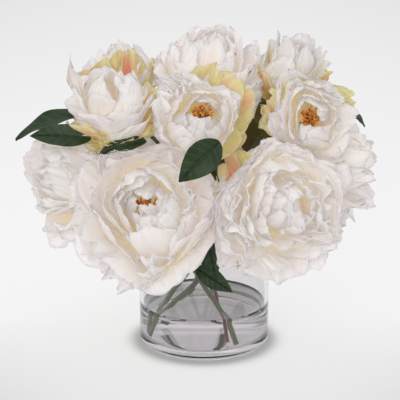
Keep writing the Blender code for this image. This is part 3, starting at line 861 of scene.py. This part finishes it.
def squeeze(points, centre, walls):
    """Bends points short of the walls. The last part of the way to a wall takes in all that lies beyond."""
    away = points - centre
    distance = np.linalg.norm(away, axis=1)
    heading = away / np.maximum(distance, 1e-9)[:, None]
    limit = np.full(len(points), 1.0)
    for direction, reach in walls:
        leaning = heading @ np.array(direction)
        limit = np.minimum(limit, np.where(leaning > 0.01, reach / np.maximum(leaning, 0.01), 1.0))
    start = limit * (1 - SOFTNESS)
    over = np.maximum(distance - start, 0.0)
    room = limit * SOFTNESS
    squeezed = np.where(distance > start, start + room * np.tanh(over / room), distance)
    return centre + heading * squeezed[:, None]


def crumple(points, centre, radius, chance):
    """Pushes a whole bloom softly out of round. All its petals go along, so their layers stay in order."""
    pushed = points.copy()
    for _ in range(CRUMPLE_WAVES):
        heading = chance.normal(size=3)
        heading = heading / np.linalg.norm(heading) * (2 * math.pi / (radius * chance.uniform(0.6, 1.8)))
        push = chance.normal(size=3) * radius * CRUMPLE_DEPTH
        pushed += np.sin((points - centre) @ heading + chance.uniform(0, 2 * math.pi))[:, None] * push
    return pushed

# %% [markdown]
# ## Making the blooms
#
# Each part of a bloom becomes one piece: the tree bends its petals, a thickness is added so that each
# petal is a closed shell, and the piece is turned to its place and squeezed between its neighbours.

# %% From points to a piece
def grown(maker, tree, name, inputs, thickness=0.0):
    """The mesh that a tree makes on an object, as a piece at the origin. A sheet is given its thickness."""
    growing = maker.modifiers.new(tree.name, "NODES")
    growing.node_group = tree
    for item in tree.interface.items_tree:
        if item.in_out == "INPUT" and item.name in inputs:
            growing[item.identifier] = inputs[item.name]
    if thickness:
        shell = maker.modifiers.new("Thickness", "SOLIDIFY")
        shell.thickness = thickness
        shell.offset = 0.0
    graph = bpy.context.evaluated_depsgraph_get()
    mesh = bpy.data.meshes.new_from_object(maker.evaluated_get(graph), preserve_all_data_layers=True,
                                           depsgraph=graph)
    mesh.name = name
    bpy.data.objects.remove(maker)
    return add_object(name, mesh)


def place(piece, slot, *nodes):
    """Hands a finished piece over: what it rides on, its finish's slot (not used) and the plain
    solids it stands for.
    """
    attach(piece, "root")
    if nodes:
        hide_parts(*nodes)


# %% Build every bloom
SILK_THICKNESS = 0.00035
PETAL_CELLS = {"Cells across": 26, "Cells along": 15}
PART_FINISHES = {"outer": (OUTER_SILK, "outer_petal"), "inner": (INNER_SILK, "inner_petal"),
                 "guard": (GUARD_SILK, "guard_petal"), "calyx": (CALYX_SILK, "leaf")}
# blooms whose outer petals are dyed at the foot
OUTER_FINISHES = {"peony_6": BUD_SILK, **dict.fromkeys(GREEN_BACKED, FLUSHED_SILK)}


def petal_piece(bloom, part, rows):
    """One piece with all the petals of one part of a bloom."""
    finish, slot = PART_FINISHES[part]
    if part == "outer":
        finish = OUTER_FINISHES.get(bloom, finish)
    piece = grown(points_that_carry(rows, PETAL_MEASURES), PETAL_TREE, f"{bloom}_{part}_silk",
                  {**PETAL_CELLS, "Finish": finish}, SILK_THICKNESS)
    mesh = piece.data
    mesh.transform(bloom_turn(bloom))
    centre = np.array(BLOOMS[bloom][0])
    points = np.empty(len(mesh.vertices) * 3, np.float32)
    mesh.vertices.foreach_get("co", points)
    points = crumple(points.reshape(-1, 3).astype(float), centre, BLOOMS[bloom][2], chance_for(bloom, 307))
    points = squeeze(points, centre, pressing_walls(bloom, part))
    mesh.vertices.foreach_set("co", points.astype(np.float32).ravel())
    mesh.update()
    place(piece, slot, *([f"{bloom}_{part}_petals"] if part in BOTH else []))


for bloom_name in BLOOMS:
    sorted_petals = bloom_petals(bloom_name)
    for part_name, petal_rows in sorted_petals.items():
        if petal_rows:
            petal_piece(bloom_name, part_name, petal_rows)
    print(bloom_name, {part_name: len(rows) for part_name, rows in sorted_petals.items()})

# %% [markdown]
# ## Stamens
#
# Under the petals of an open peony stands a tuft of thin yellow threads, each with a long orange pollen
# sac at its tip. They differ only in length and lean, so they are made like the petals: one thin rod on
# each of some sixty points, bent and swelled by formula. A spiral of points keeps them from touching.
# Five stout green pods with red tips, the carpels, stand in their middle.

# %% The stamen tree
STAMEN_MEASURES = ("azimuth", "lean", "length", "curl", "thread", "sac", "foot_radius", "foot_height", "seed")


def make_stamen_tree():
    tree, given, result = new_tree(
        "stamens on points", {"Sides": "Int", "Cells along": "Int", "Finish": "Material"})
    rod = step(tree, "MeshCylinder", {
        "Vertices": given["Sides"], "Side Segments": given["Cells along"], "Radius": 1.0, "Depth": 1.0})
    x, y, z = position(tree)
    left = 0.5 - z
    laid = on_points(tree, given, keep_place(tree, rod, ring_x=x, ring_y=y, along=1 - left * left))
    azimuth, lean, length, curl, thread, sac, foot_radius, foot_height, _ = named(tree, *STAMEN_MEASURES)
    u, ring_x, ring_y = named(tree, "along", "ring_x", "ring_y")
    swing = curl * u * u * 0.5
    out = foot_radius + length * (sine(lean) * u + cosine(lean) * swing)
    up = foot_height + length * (cosine(lean) * u - sine(lean) * swing)
    thick = thread * (1 - u * 0.35) + sac * bell(u - 0.92, 0.055)
    where = (*turned_round(out + ring_x * thick, ring_y * thick, azimuth), up)
    bend_and_finish(tree, laid, where, given["Finish"], result)
    return tree


def stamen_finish():
    """Pale threads, orange sacs dusted with darker pollen, and green carpels (seed 2) with red tips."""
    finish, tree, shader = new_finish("stamen threads")
    along, seed = carried(tree, "along", "seed")
    dust = noise(tree, *object_place(tree), 1400.0, 2.0)
    dusted = ramp(dust + (seed - 0.5) * 0.5, 0.35, 0.75)
    sac = colour_mix(tree, dusted, (0.86, 0.42, 0.09), (0.58, 0.19, 0.03))
    colour = colour_mix(tree, ramp(along, 0.62, 0.86), (0.84, 0.52, 0.13), sac)
    pod = colour_mix(tree, ramp(along, 0.7, 0.98), (0.42, 0.46, 0.12), (0.75, 0.16, 0.1))
    fill(tree, shader, {"Base Color": colour_mix(tree, ramp(seed, 1.2, 1.8), colour, pod),
                        "Normal": bump(tree, dust, 0.0002), "Roughness": 0.7})
    return finish


STAMEN_TREE = make_stamen_tree()
STAMEN_FINISH = stamen_finish()
print("stamen tree:", len(STAMEN_TREE.nodes), "nodes")

# %% Stamens of the open blooms
# bloom: how high the tuft stands and how wide its foot is, as shares of the bloom's radius, and its spray
OPEN_BLOOMS = {"peony_1": (0.58, 0.1, 0.02), "peony_5": (0.62, 0.18, 0.12), "peony_8": (0.62, 0.18, 0.12),
               "peony_9": (0.1, 0.14, 0.1), "peony_12": (0.5, 0.18, 0.16)}
STAMEN_COUNT = 58
THREAD_RADIUS = 0.00038
SAC_RADIUS = 0.00125
CARPEL_COUNT = 5


def stamen_rows(name):
    """The measures of a bloom's stamens, on a spiral from its middle outwards, and of its carpels."""
    radius = BLOOMS[name][2]
    top, spread, spray = OPEN_BLOOMS[name]
    chance = chance_for(name, 211)
    rows = []
    for i in range(STAMEN_COUNT):
        out = math.sqrt((i + 0.5) / STAMEN_COUNT)
        rows.append((
            i * GOLDEN_TURN, 0.04 + spray * out + chance.uniform(-0.06, 0.06),
            radius * (top + 0.2) * chance.uniform(0.88, 1.06), chance.uniform(-0.2, 0.1), THREAD_RADIUS,
            SAC_RADIUS * chance.uniform(0.8, 1.2), radius * spread * out * 0.6, -radius * 0.2,
            chance.uniform(0.0, 1.0)))
    rows += [(i * 2 * math.pi / CARPEL_COUNT, 0.1, radius * (top + 0.1), 0.2, radius * 0.035, 0.0006,
              radius * 0.04, -radius * 0.3, 2.0) for i in range(CARPEL_COUNT)]
    return rows


for bloom_name in OPEN_BLOOMS:
    tuft = grown(points_that_carry(stamen_rows(bloom_name), STAMEN_MEASURES), STAMEN_TREE,
                 f"{bloom_name}_stamen_tuft", {"Sides": 6, "Cells along": 12, "Finish": STAMEN_FINISH})
    tuft.data.transform(bloom_turn(bloom_name))
    place(tuft, "stamen", f"{bloom_name}_stamens")
print(len(OPEN_BLOOMS), "tufts of", STAMEN_COUNT, "stamens")

# %% [markdown]
# ## Stems
#
# The stems are wire in a green sleeve. Six stand in the water, lean out over the rim and end in a bloom,
# and eight more fork from them. Each follows a smooth curve through a few places. A node tree turns such
# a line into a tube with closed ends, and roughens it a little, as moulded stems are.

# %% The stem tree
def make_stem_tree():
    tree, given, result = new_tree("stem along a line", {
        "Radius": "Float", "Sides": "Int", "Roughness depth": "Float", "Finish": "Material"})
    line = step(tree, "MeshToCurve", {"Mesh": given["Geometry"]})
    ring = step(tree, "CurvePrimitiveCircle", {"Resolution": given["Sides"], "Radius": given["Radius"]})
    kept = keep_place(tree, line, along=Field(step(tree, "SplineParameter")))
    skin = step(tree, "CurveToMesh", {"Curve": kept, "Profile Curve": ring, "Fill Caps": True})
    x, y, z = position(tree)
    swell = (noise(tree, x, y, z * 0.35, 260.0, 1.0) - 0.5) * Field(given["Roughness depth"])
    nx, ny, nz = parts(tree, step(tree, "InputNormal"))
    bend_and_finish(tree, skin, (x + nx * swell, y + ny * swell, z + nz * swell),
                    given["Finish"], result)
    return tree


def stem_finish(name, pale, dark):
    """A moulded green sleeve: streaks along it and random patches. Paler where it stands in the water,
    as painted light.
    """
    finish, tree, shader = new_finish(name)
    x, y, z = object_place(tree)
    streak = noise(tree, x, y, z * 0.12, 420.0, 2.0)
    patch = noise(tree, x, y, z, 60.0, 2.0)
    # painted light: paler low down, where the stem stands in the water
    painted_low_light = ramp(0.075 - z, 0.0, 0.045)
    colour = colour_mix(tree, least(painted_low_light * 0.75 + (patch - 0.5) * 0.5 + 0.1, 1.0), dark, pale)
    fill(tree, shader, {"Base Color": colour, "Normal": bump(tree, streak, 0.0005), "Roughness": 0.45})
    return finish


STEM_TREE = make_stem_tree()
STEM_FINISH = stem_finish("green stem", (0.26, 0.34, 0.13), (0.065, 0.085, 0.04))
RED_STEM_FINISH = stem_finish("red stem", (0.42, 0.02, 0.07), (0.05, 0.05, 0.03))
print("stem tree:", len(STEM_TREE.nodes), "nodes")

# %% Routes of the stems
BASE_THICKNESS = 0.0085
STEM_RADIUS = 0.0024
SIDE_STEM_RADIUS = 0.0019
RED_STEM_RADIUS = 0.0015
RED_STEM = "stem_4"
STEM_POINTS = 30
STRAIGHT_END = 0.012
SLACK = 0.0006

# name: bloom, cut end on the vase's floor, places it passes
STEMS = {
    "stem_1": ("peony_3", (-0.046, -0.012), (-0.038, -0.006, 0.04), (-0.008, -0.008, 0.082),
               (0.038, 0, 0.134)),
    "stem_2": ("peony_2", (-0.048, -0.021), (-0.033, -0.018, 0.04), (-0.006, -0.034, 0.073),
               (0.036, -0.03, 0.131)),
    "stem_3": ("peony_1", (0.029, -0.043), (0.016, -0.03, 0.04), (-0.003, -0.043, 0.075),
               (-0.032, -0.034, 0.128)),
    "stem_4": ("peony_11", (0.02, -0.033), (0.014, -0.02, 0.04), (0.005, 0, 0.066), (-0.036, 0.028, 0.132)),
    "stem_5": ("peony_13", (0.012, 0.04), (0.008, 0.034, 0.04), (0, 0.028, 0.07), (-0.004, 0.044, 0.132)),
    "stem_6": ("peony_12", (-0.024, 0.03), (-0.014, 0.022, 0.04), (0.004, 0.014, 0.08),
               (0.036, 0.034, 0.134)),
}
# name: the stem it leaves, how far up that stem, a place it passes, bloom
SIDE_STEMS = {
    "side_stem_1": ("stem_1", 0.74, (0.052, -0.006, 0.18), "peony_5"),
    "side_stem_2": ("stem_6", 0.72, (0.046, 0.022, 0.185), "peony_6"),
    "side_stem_3": ("stem_6", 0.6, (0.012, 0.014, 0.175), "peony_7"),
    "side_stem_4": ("stem_2", 0.6, (-0.004, -0.016, 0.172), "peony_8"),
    "side_stem_5": ("stem_4", 0.62, (-0.048, 0.004, 0.15), "peony_4"),
    "side_stem_6": ("stem_4", 0.74, (-0.044, 0.028, 0.19), "peony_10"),
    "side_stem_7": ("stem_5", 0.68, (0, 0.038, 0.18), "peony_14"),
    "side_stem_8": ("stem_3", 0.68, (-0.038, -0.014, 0.18), "peony_9"),
}


def smooth_path(points, count):
    """Evenly spaced points on a smooth curve through the given ones."""
    points = [np.array(point) for point in points]
    ends = [points[0] * 2 - points[1], *points, points[-1] * 2 - points[-2]]
    fine = []
    for a, b, c, d in zip(ends, ends[1:], ends[2:], ends[3:]):
        for t in np.arange(24) / 24:
            fine.append((b * 2 + (c - a) * t + (a * 2 - b * 5 + c * 4 - d) * t * t
                         + (b * 3 - a - c * 3 + d) * t ** 3) / 2)
    fine = np.array([*fine, points[-1]])
    walked = np.concatenate([[0.0], np.cumsum(np.linalg.norm(np.diff(fine, axis=0), axis=1))])
    wanted = np.linspace(0.0, walked[-1], count)
    return np.stack([np.interp(wanted, walked, fine[:, axis]) for axis in range(3)], axis=1)


def route(start, passed, bloom):
    """A smooth path through some places into the back of a bloom, straight for its last bit."""
    centre, facing, radius, _, back, *_ = BLOOMS[bloom]
    facing = np.array(facing) / np.linalg.norm(facing)
    end = np.array(centre) - facing * radius * back
    return smooth_path([*start, *passed, end - facing * STRAIGHT_END, end], STEM_POINTS)


def stem_piece(name, path, radius, finish):
    """A tube along a path, as a piece."""
    line = bpy.data.meshes.new("line")
    line.from_pydata([tuple(point) for point in path], [(i, i + 1) for i in range(len(path) - 1)], [])
    sleeve = grown(add_object("line", line), STEM_TREE, f"{name}_sleeve",
                   {"Radius": radius, "Sides": 12, "Roughness depth": 0.0007, "Finish": finish})
    place(sleeve, "stem", name)


routes = {}
for stem_name, (bloom_name, cut_end, *passed) in STEMS.items():
    foot = (*cut_end, BASE_THICKNESS + STEM_RADIUS + SLACK)
    routes[stem_name] = route([foot], passed, bloom_name)
    dress = (RED_STEM_RADIUS, RED_STEM_FINISH) if stem_name == RED_STEM else (STEM_RADIUS, STEM_FINISH)
    stem_piece(stem_name, routes[stem_name], *dress)
for stem_name, (parent, share, via, bloom_name) in SIDE_STEMS.items():
    at = int(share * (STEM_POINTS - 1))
    stem_piece(stem_name, route(routes[parent][at:at + 2], [via], bloom_name), SIDE_STEM_RADIUS, STEM_FINISH)
print(len(STEMS), "stems and", len(SIDE_STEMS), "side stems")

# %% [markdown]
# ## Leaves
#
# The leaves are dark, glossy and pointed, folded a little along the midrib, with side veins that curve
# towards the tip. The fold, the veins and the waved rim are relief on one flat grid, so a leaf is again a
# formula: a node tree with a leaf's length and width as its inputs.

# %% The leaf tree
LEAF_SIZES = ("Length", "Width", "Sag", "Fold", "Droop", "Veins", "Vein depth", "Seed")
VEIN_PAIRS = 7.0


def vein_turn(u, side, pairs):
    """The angle whose sine rises at each side vein. The veins sweep forward towards the rim."""
    return (u * pairs - side * 1.1 + 0.25) * (2 * math.pi)


def make_leaf_tree():
    tree, given, result = new_tree("leaf", {
        **dict.fromkeys(LEAF_SIZES, "Float"),
        "Cells across": "Int", "Cells along": "Int", "Finish": "Material"})
    length, width, sag, fold, droop, pairs, depth, seed = [Field(given[name]) for name in LEAF_SIZES]
    sheet = step(tree, "RealizeInstances", {"Geometry": flat_grid(tree, given)})
    u, v = named(tree, "along", "across")
    side = size(v)
    belly = sine((u ** 0.8) * math.pi * 0.985 + 0.045) ** 0.85
    half = width * 0.5 * belly * (1 + (noise(tree, u * 5.0, v * 0.3, seed) - 0.5) * 0.1)
    vein = (sine(vein_turn(u, side, pairs)) * 0.5 + 0.5) ** 5.0
    relief = vein * depth * -1.0 * ramp(1 - side, 0.0, 0.5) - bell(v, 0.07) * depth * 2.2
    wave = sine(u * 13.0 + seed * 9.0 + v * 1.5) * side * side * width * 0.045
    lift = sine(u * math.pi) * sag + side * half * fold + relief + wave - u * u * u * droop
    bend_and_finish(tree, sheet, (v * half, u * length, lift), given["Finish"], result)
    return tree


def leaf_finish():
    """Dark waxed green, with a paler midrib and side veins, mottled like pressed cloth."""
    finish, tree, shader = new_finish("leaf green")
    u, v = carried(tree, "along", "across")
    place_at = object_place(tree)
    mottle = noise(tree, *place_at, 90.0, 3.0)
    weave = noise(tree, *place_at, 1600.0, 1.0)
    colour = colour_mix(tree, ramp(mottle, 0.3, 0.7), (0.008, 0.024, 0.006), (0.02, 0.046, 0.011))
    veins = ((sine(vein_turn(u, size(v), VEIN_PAIRS)) * 0.5 + 0.5) ** 6.0) * 0.35 + bell(v, 0.05) * 0.6
    fill(tree, shader, {"Base Color": colour_mix(tree, least(veins, 1.0), colour, (0.05, 0.085, 0.03)),
                        "Normal": bump(tree, weave * 0.5 + mottle * 0.5, 0.0004), "Roughness": 0.42,
                        "Specular IOR Level": 0.36})
    return finish


LEAF_TREE = make_leaf_tree()
LEAF_FINISH = leaf_finish()
print("leaf tree:", len(LEAF_TREE.nodes), "nodes")

# %% Lay the leaves
# name: foot, tip, facing, width, sag
LEAVES = {
    "leaf_1": ((-0.11, -0.04, 0.2365), (-0.174, -0.05, 0.217), (-0.35, -0.45, 0.82), 0.023, 0.004),
    "leaf_2": ((-0.102, -0.072, 0.22), (-0.158, -0.068, 0.223), (-0.1, -0.85, 0.5), 0.021, 0.004),
    "leaf_3": ((0.013, -0.112, 0.227), (-0.022, -0.126, 0.195), (0.15, -0.9, 0.42), 0.029, 0.005),
    "leaf_4": ((0.002, -0.069, 0.14), (0.01, -0.079, 0.089), (-0.15, -0.98, 0.1), 0.021, 0.003),
    "leaf_5": ((-0.008, -0.07, 0.098), (0.026, -0.075, 0.075), (0.2, -0.97, 0.15), 0.018, 0.002),
    "leaf_6": ((-0.052, -0.077, 0.219), (-0.094, -0.086, 0.212), (-0.05, -0.6, 0.8), 0.018, 0.002),
    "leaf_7": ((0.116, 0.03, 0.222), (0.161, 0.052, 0.208), (0.45, 0.1, 0.88), 0.024, 0.006),
    "leaf_8": ((-0.062, 0.086, 0.226), (-0.106, 0.106, 0.214), (-0.25, 0.5, 0.82), 0.026, 0.006),
    "leaf_9": ((0.03, 0.0735, 0.12), (0.044, 0.092, 0.073), (0.35, 0.92, 0.1), 0.026, 0.004),
}
LEAF_THICKNESS = 0.0005


def leaf_turn(foot, tip, facing):
    """Turns a leaf made along +Y and facing +Z to its place."""
    along = (tip - foot).normalized()
    up = (facing - along * facing.dot(along)).normalized()
    turned = Matrix((along.cross(up), along, up)).transposed().to_4x4()
    return Matrix.Translation(foot) @ turned


for number, (leaf_name, (*ends, leaf_width, leaf_sag)) in enumerate(LEAVES.items()):
    foot, tip, facing = map(Vector, ends)
    leaf = grown(points_that_carry([], []), LEAF_TREE, f"{leaf_name}_blade", {
        "Length": (tip - foot).length, "Width": leaf_width, "Sag": leaf_sag, "Fold": 0.3, "Droop": 0.004,
        "Veins": VEIN_PAIRS, "Vein depth": 0.0005, "Seed": number * 1.7, "Cells across": 36,
        "Cells along": 64, "Finish": LEAF_FINISH}, LEAF_THICKNESS)
    leaf.data.transform(leaf_turn(foot, tip, facing))
    place(leaf, "leaf", leaf_name)
print(len(LEAVES), "leaves")

# %% [markdown]
# ## Vase and water
#
# The vase is a straight glass cylinder with a thick foot. Both it and the water are turned shapes, so each
# is one profile swept round the upright axis. The glass is a closed shell with a rounded rim. The water
# reaches a hair into the glass: with air between them, the wall would shine like a mirror.

# %% Turn the glass and the water
WALL = 0.0036
FOOT_ROUNDING = 0.005
INNER_ROUNDING = 0.006
WATER_LEVEL = 0.04
TURNED_SEGMENTS = 144


def arc(centre_r, centre_z, radius, start, stop, steps):
    """Points on part of a circle in the profile's plane, angles in degrees."""
    return [(centre_r + radius * math.cos(math.radians(a)), centre_z + radius * math.sin(math.radians(a)))
            for a in np.linspace(start, stop, steps)]


def turned_piece(name, profile, finish):
    """A closed solid: a profile of (radius, height) from the axis to the axis, swept round."""
    ring = np.arange(TURNED_SEGMENTS) * (2 * math.pi / TURNED_SEGMENTS)
    points = [(0.0, 0.0, profile[0][1])]
    for radius, height in profile[1:-1]:
        points += [(radius * math.cos(a), radius * math.sin(a), height) for a in ring]
    points.append((0.0, 0.0, profile[-1][1]))
    n, rows, last = TURNED_SEGMENTS, len(profile) - 2, len(points) - 1
    faces = [(0, 1 + (i + 1) % n, 1 + i) for i in range(n)]
    for row in range(rows - 1):
        low, high = 1 + row * n, 1 + (row + 1) * n
        faces += [(low + i, low + (i + 1) % n, high + (i + 1) % n, high + i) for i in range(n)]
    top = 1 + (rows - 1) * n
    faces += [(top + i, top + (i + 1) % n, last) for i in range(n)]
    mesh = bpy.data.meshes.new(name)
    mesh.from_pydata(points, [], faces)
    mesh.shade_smooth()
    mesh.materials.append(finish)
    return add_object(name, mesh)


def clear_finish(name, bend, painted_shade_tone, marks):
    """Clear glass or water with a faint grey-mauve colour, which is painted shade: it darkens what
    the glass shows. Faint marks only show where light grazes it.
    """
    finish, tree, shader = new_finish(name)
    smear = noise(tree, *object_place(tree), 30.0, 2.0)
    fill(tree, shader, {"Roughness": ramp(smear, 0.55, 0.9) * marks, "Normal": bump(tree, smear, 0.00006),
                        "Base Color": (*painted_shade_tone, 1.0), "IOR": bend, "Transmission Weight": 1.0})
    return finish


# %% The vase
inside = VASE_RADIUS - WALL
floor_edge = (inside - INNER_ROUNDING, BASE_THICKNESS + INNER_ROUNDING)
FLOOR_DOME = ((0.04, 0.0002), (0.02, 0.0006), (0.0, 0.0007))
vase_profile = [
    (0.0, 0.0009), (0.02, 0.0009), (0.044, 0.0008), (0.05, 0.0005), (0.053, 0.0001), (0.055, 0.0),
    *arc(VASE_RADIUS - FOOT_ROUNDING, FOOT_ROUNDING, FOOT_ROUNDING, -90, 0, 12),
    *[(VASE_RADIUS, z) for z in np.linspace(0.012, VASE_TOP - 0.006, 12)],
    *arc(VASE_RADIUS - WALL / 2, VASE_TOP - WALL / 2, WALL / 2, 0, 180, 14),
    *[(inside, z) for z in np.linspace(VASE_TOP - 0.006, BASE_THICKNESS + INNER_ROUNDING + 0.004, 12)],
    *arc(*floor_edge, INNER_ROUNDING, 0, -90, 12),
    *[(radius, BASE_THICKNESS + rise) for radius, rise in FLOOR_DOME]]
# the glass's grey-mauve colour is painted shade
place(turned_piece("glass_vase", vase_profile, clear_finish("clear glass", 1.5, (0.89, 0.875, 0.885), 0.03)),
      "clear_glass", "vase")
print("vase", len(vase_profile), "rings")

# %% The water
INTO_GLASS = 0.0002
CLIMB = 0.0018
CLIMB_WIDTH = 0.0016
wet_side = inside + INTO_GLASS
meniscus = [(wet_side - d, WATER_LEVEL + CLIMB * math.exp(-d / CLIMB_WIDTH))
            for d in (0.0, 0.0003, 0.0007, 0.0012, 0.0018, 0.0026, 0.0036, 0.005, 0.007, 0.01)]
water_profile = [
    *[(radius, BASE_THICKNESS + rise - INTO_GLASS) for radius, rise in reversed(FLOOR_DOME)],
    *arc(*floor_edge, INNER_ROUNDING + INTO_GLASS, -90, 0, 12),
    *[(wet_side, z) for z in np.linspace(BASE_THICKNESS + INNER_ROUNDING + 0.004, WATER_LEVEL - 0.004, 5)],
    *meniscus, (0.03, WATER_LEVEL), (0.0, WATER_LEVEL)]
# the water's faint grey-mauve colour is painted shade
water_finish = clear_finish("clear water", 1.333, (0.97, 0.955, 0.965), 0.0)
place(turned_piece("clear_water_fill", water_profile, water_finish), "clear_water", "water")
print("water", len(water_profile), "rings")
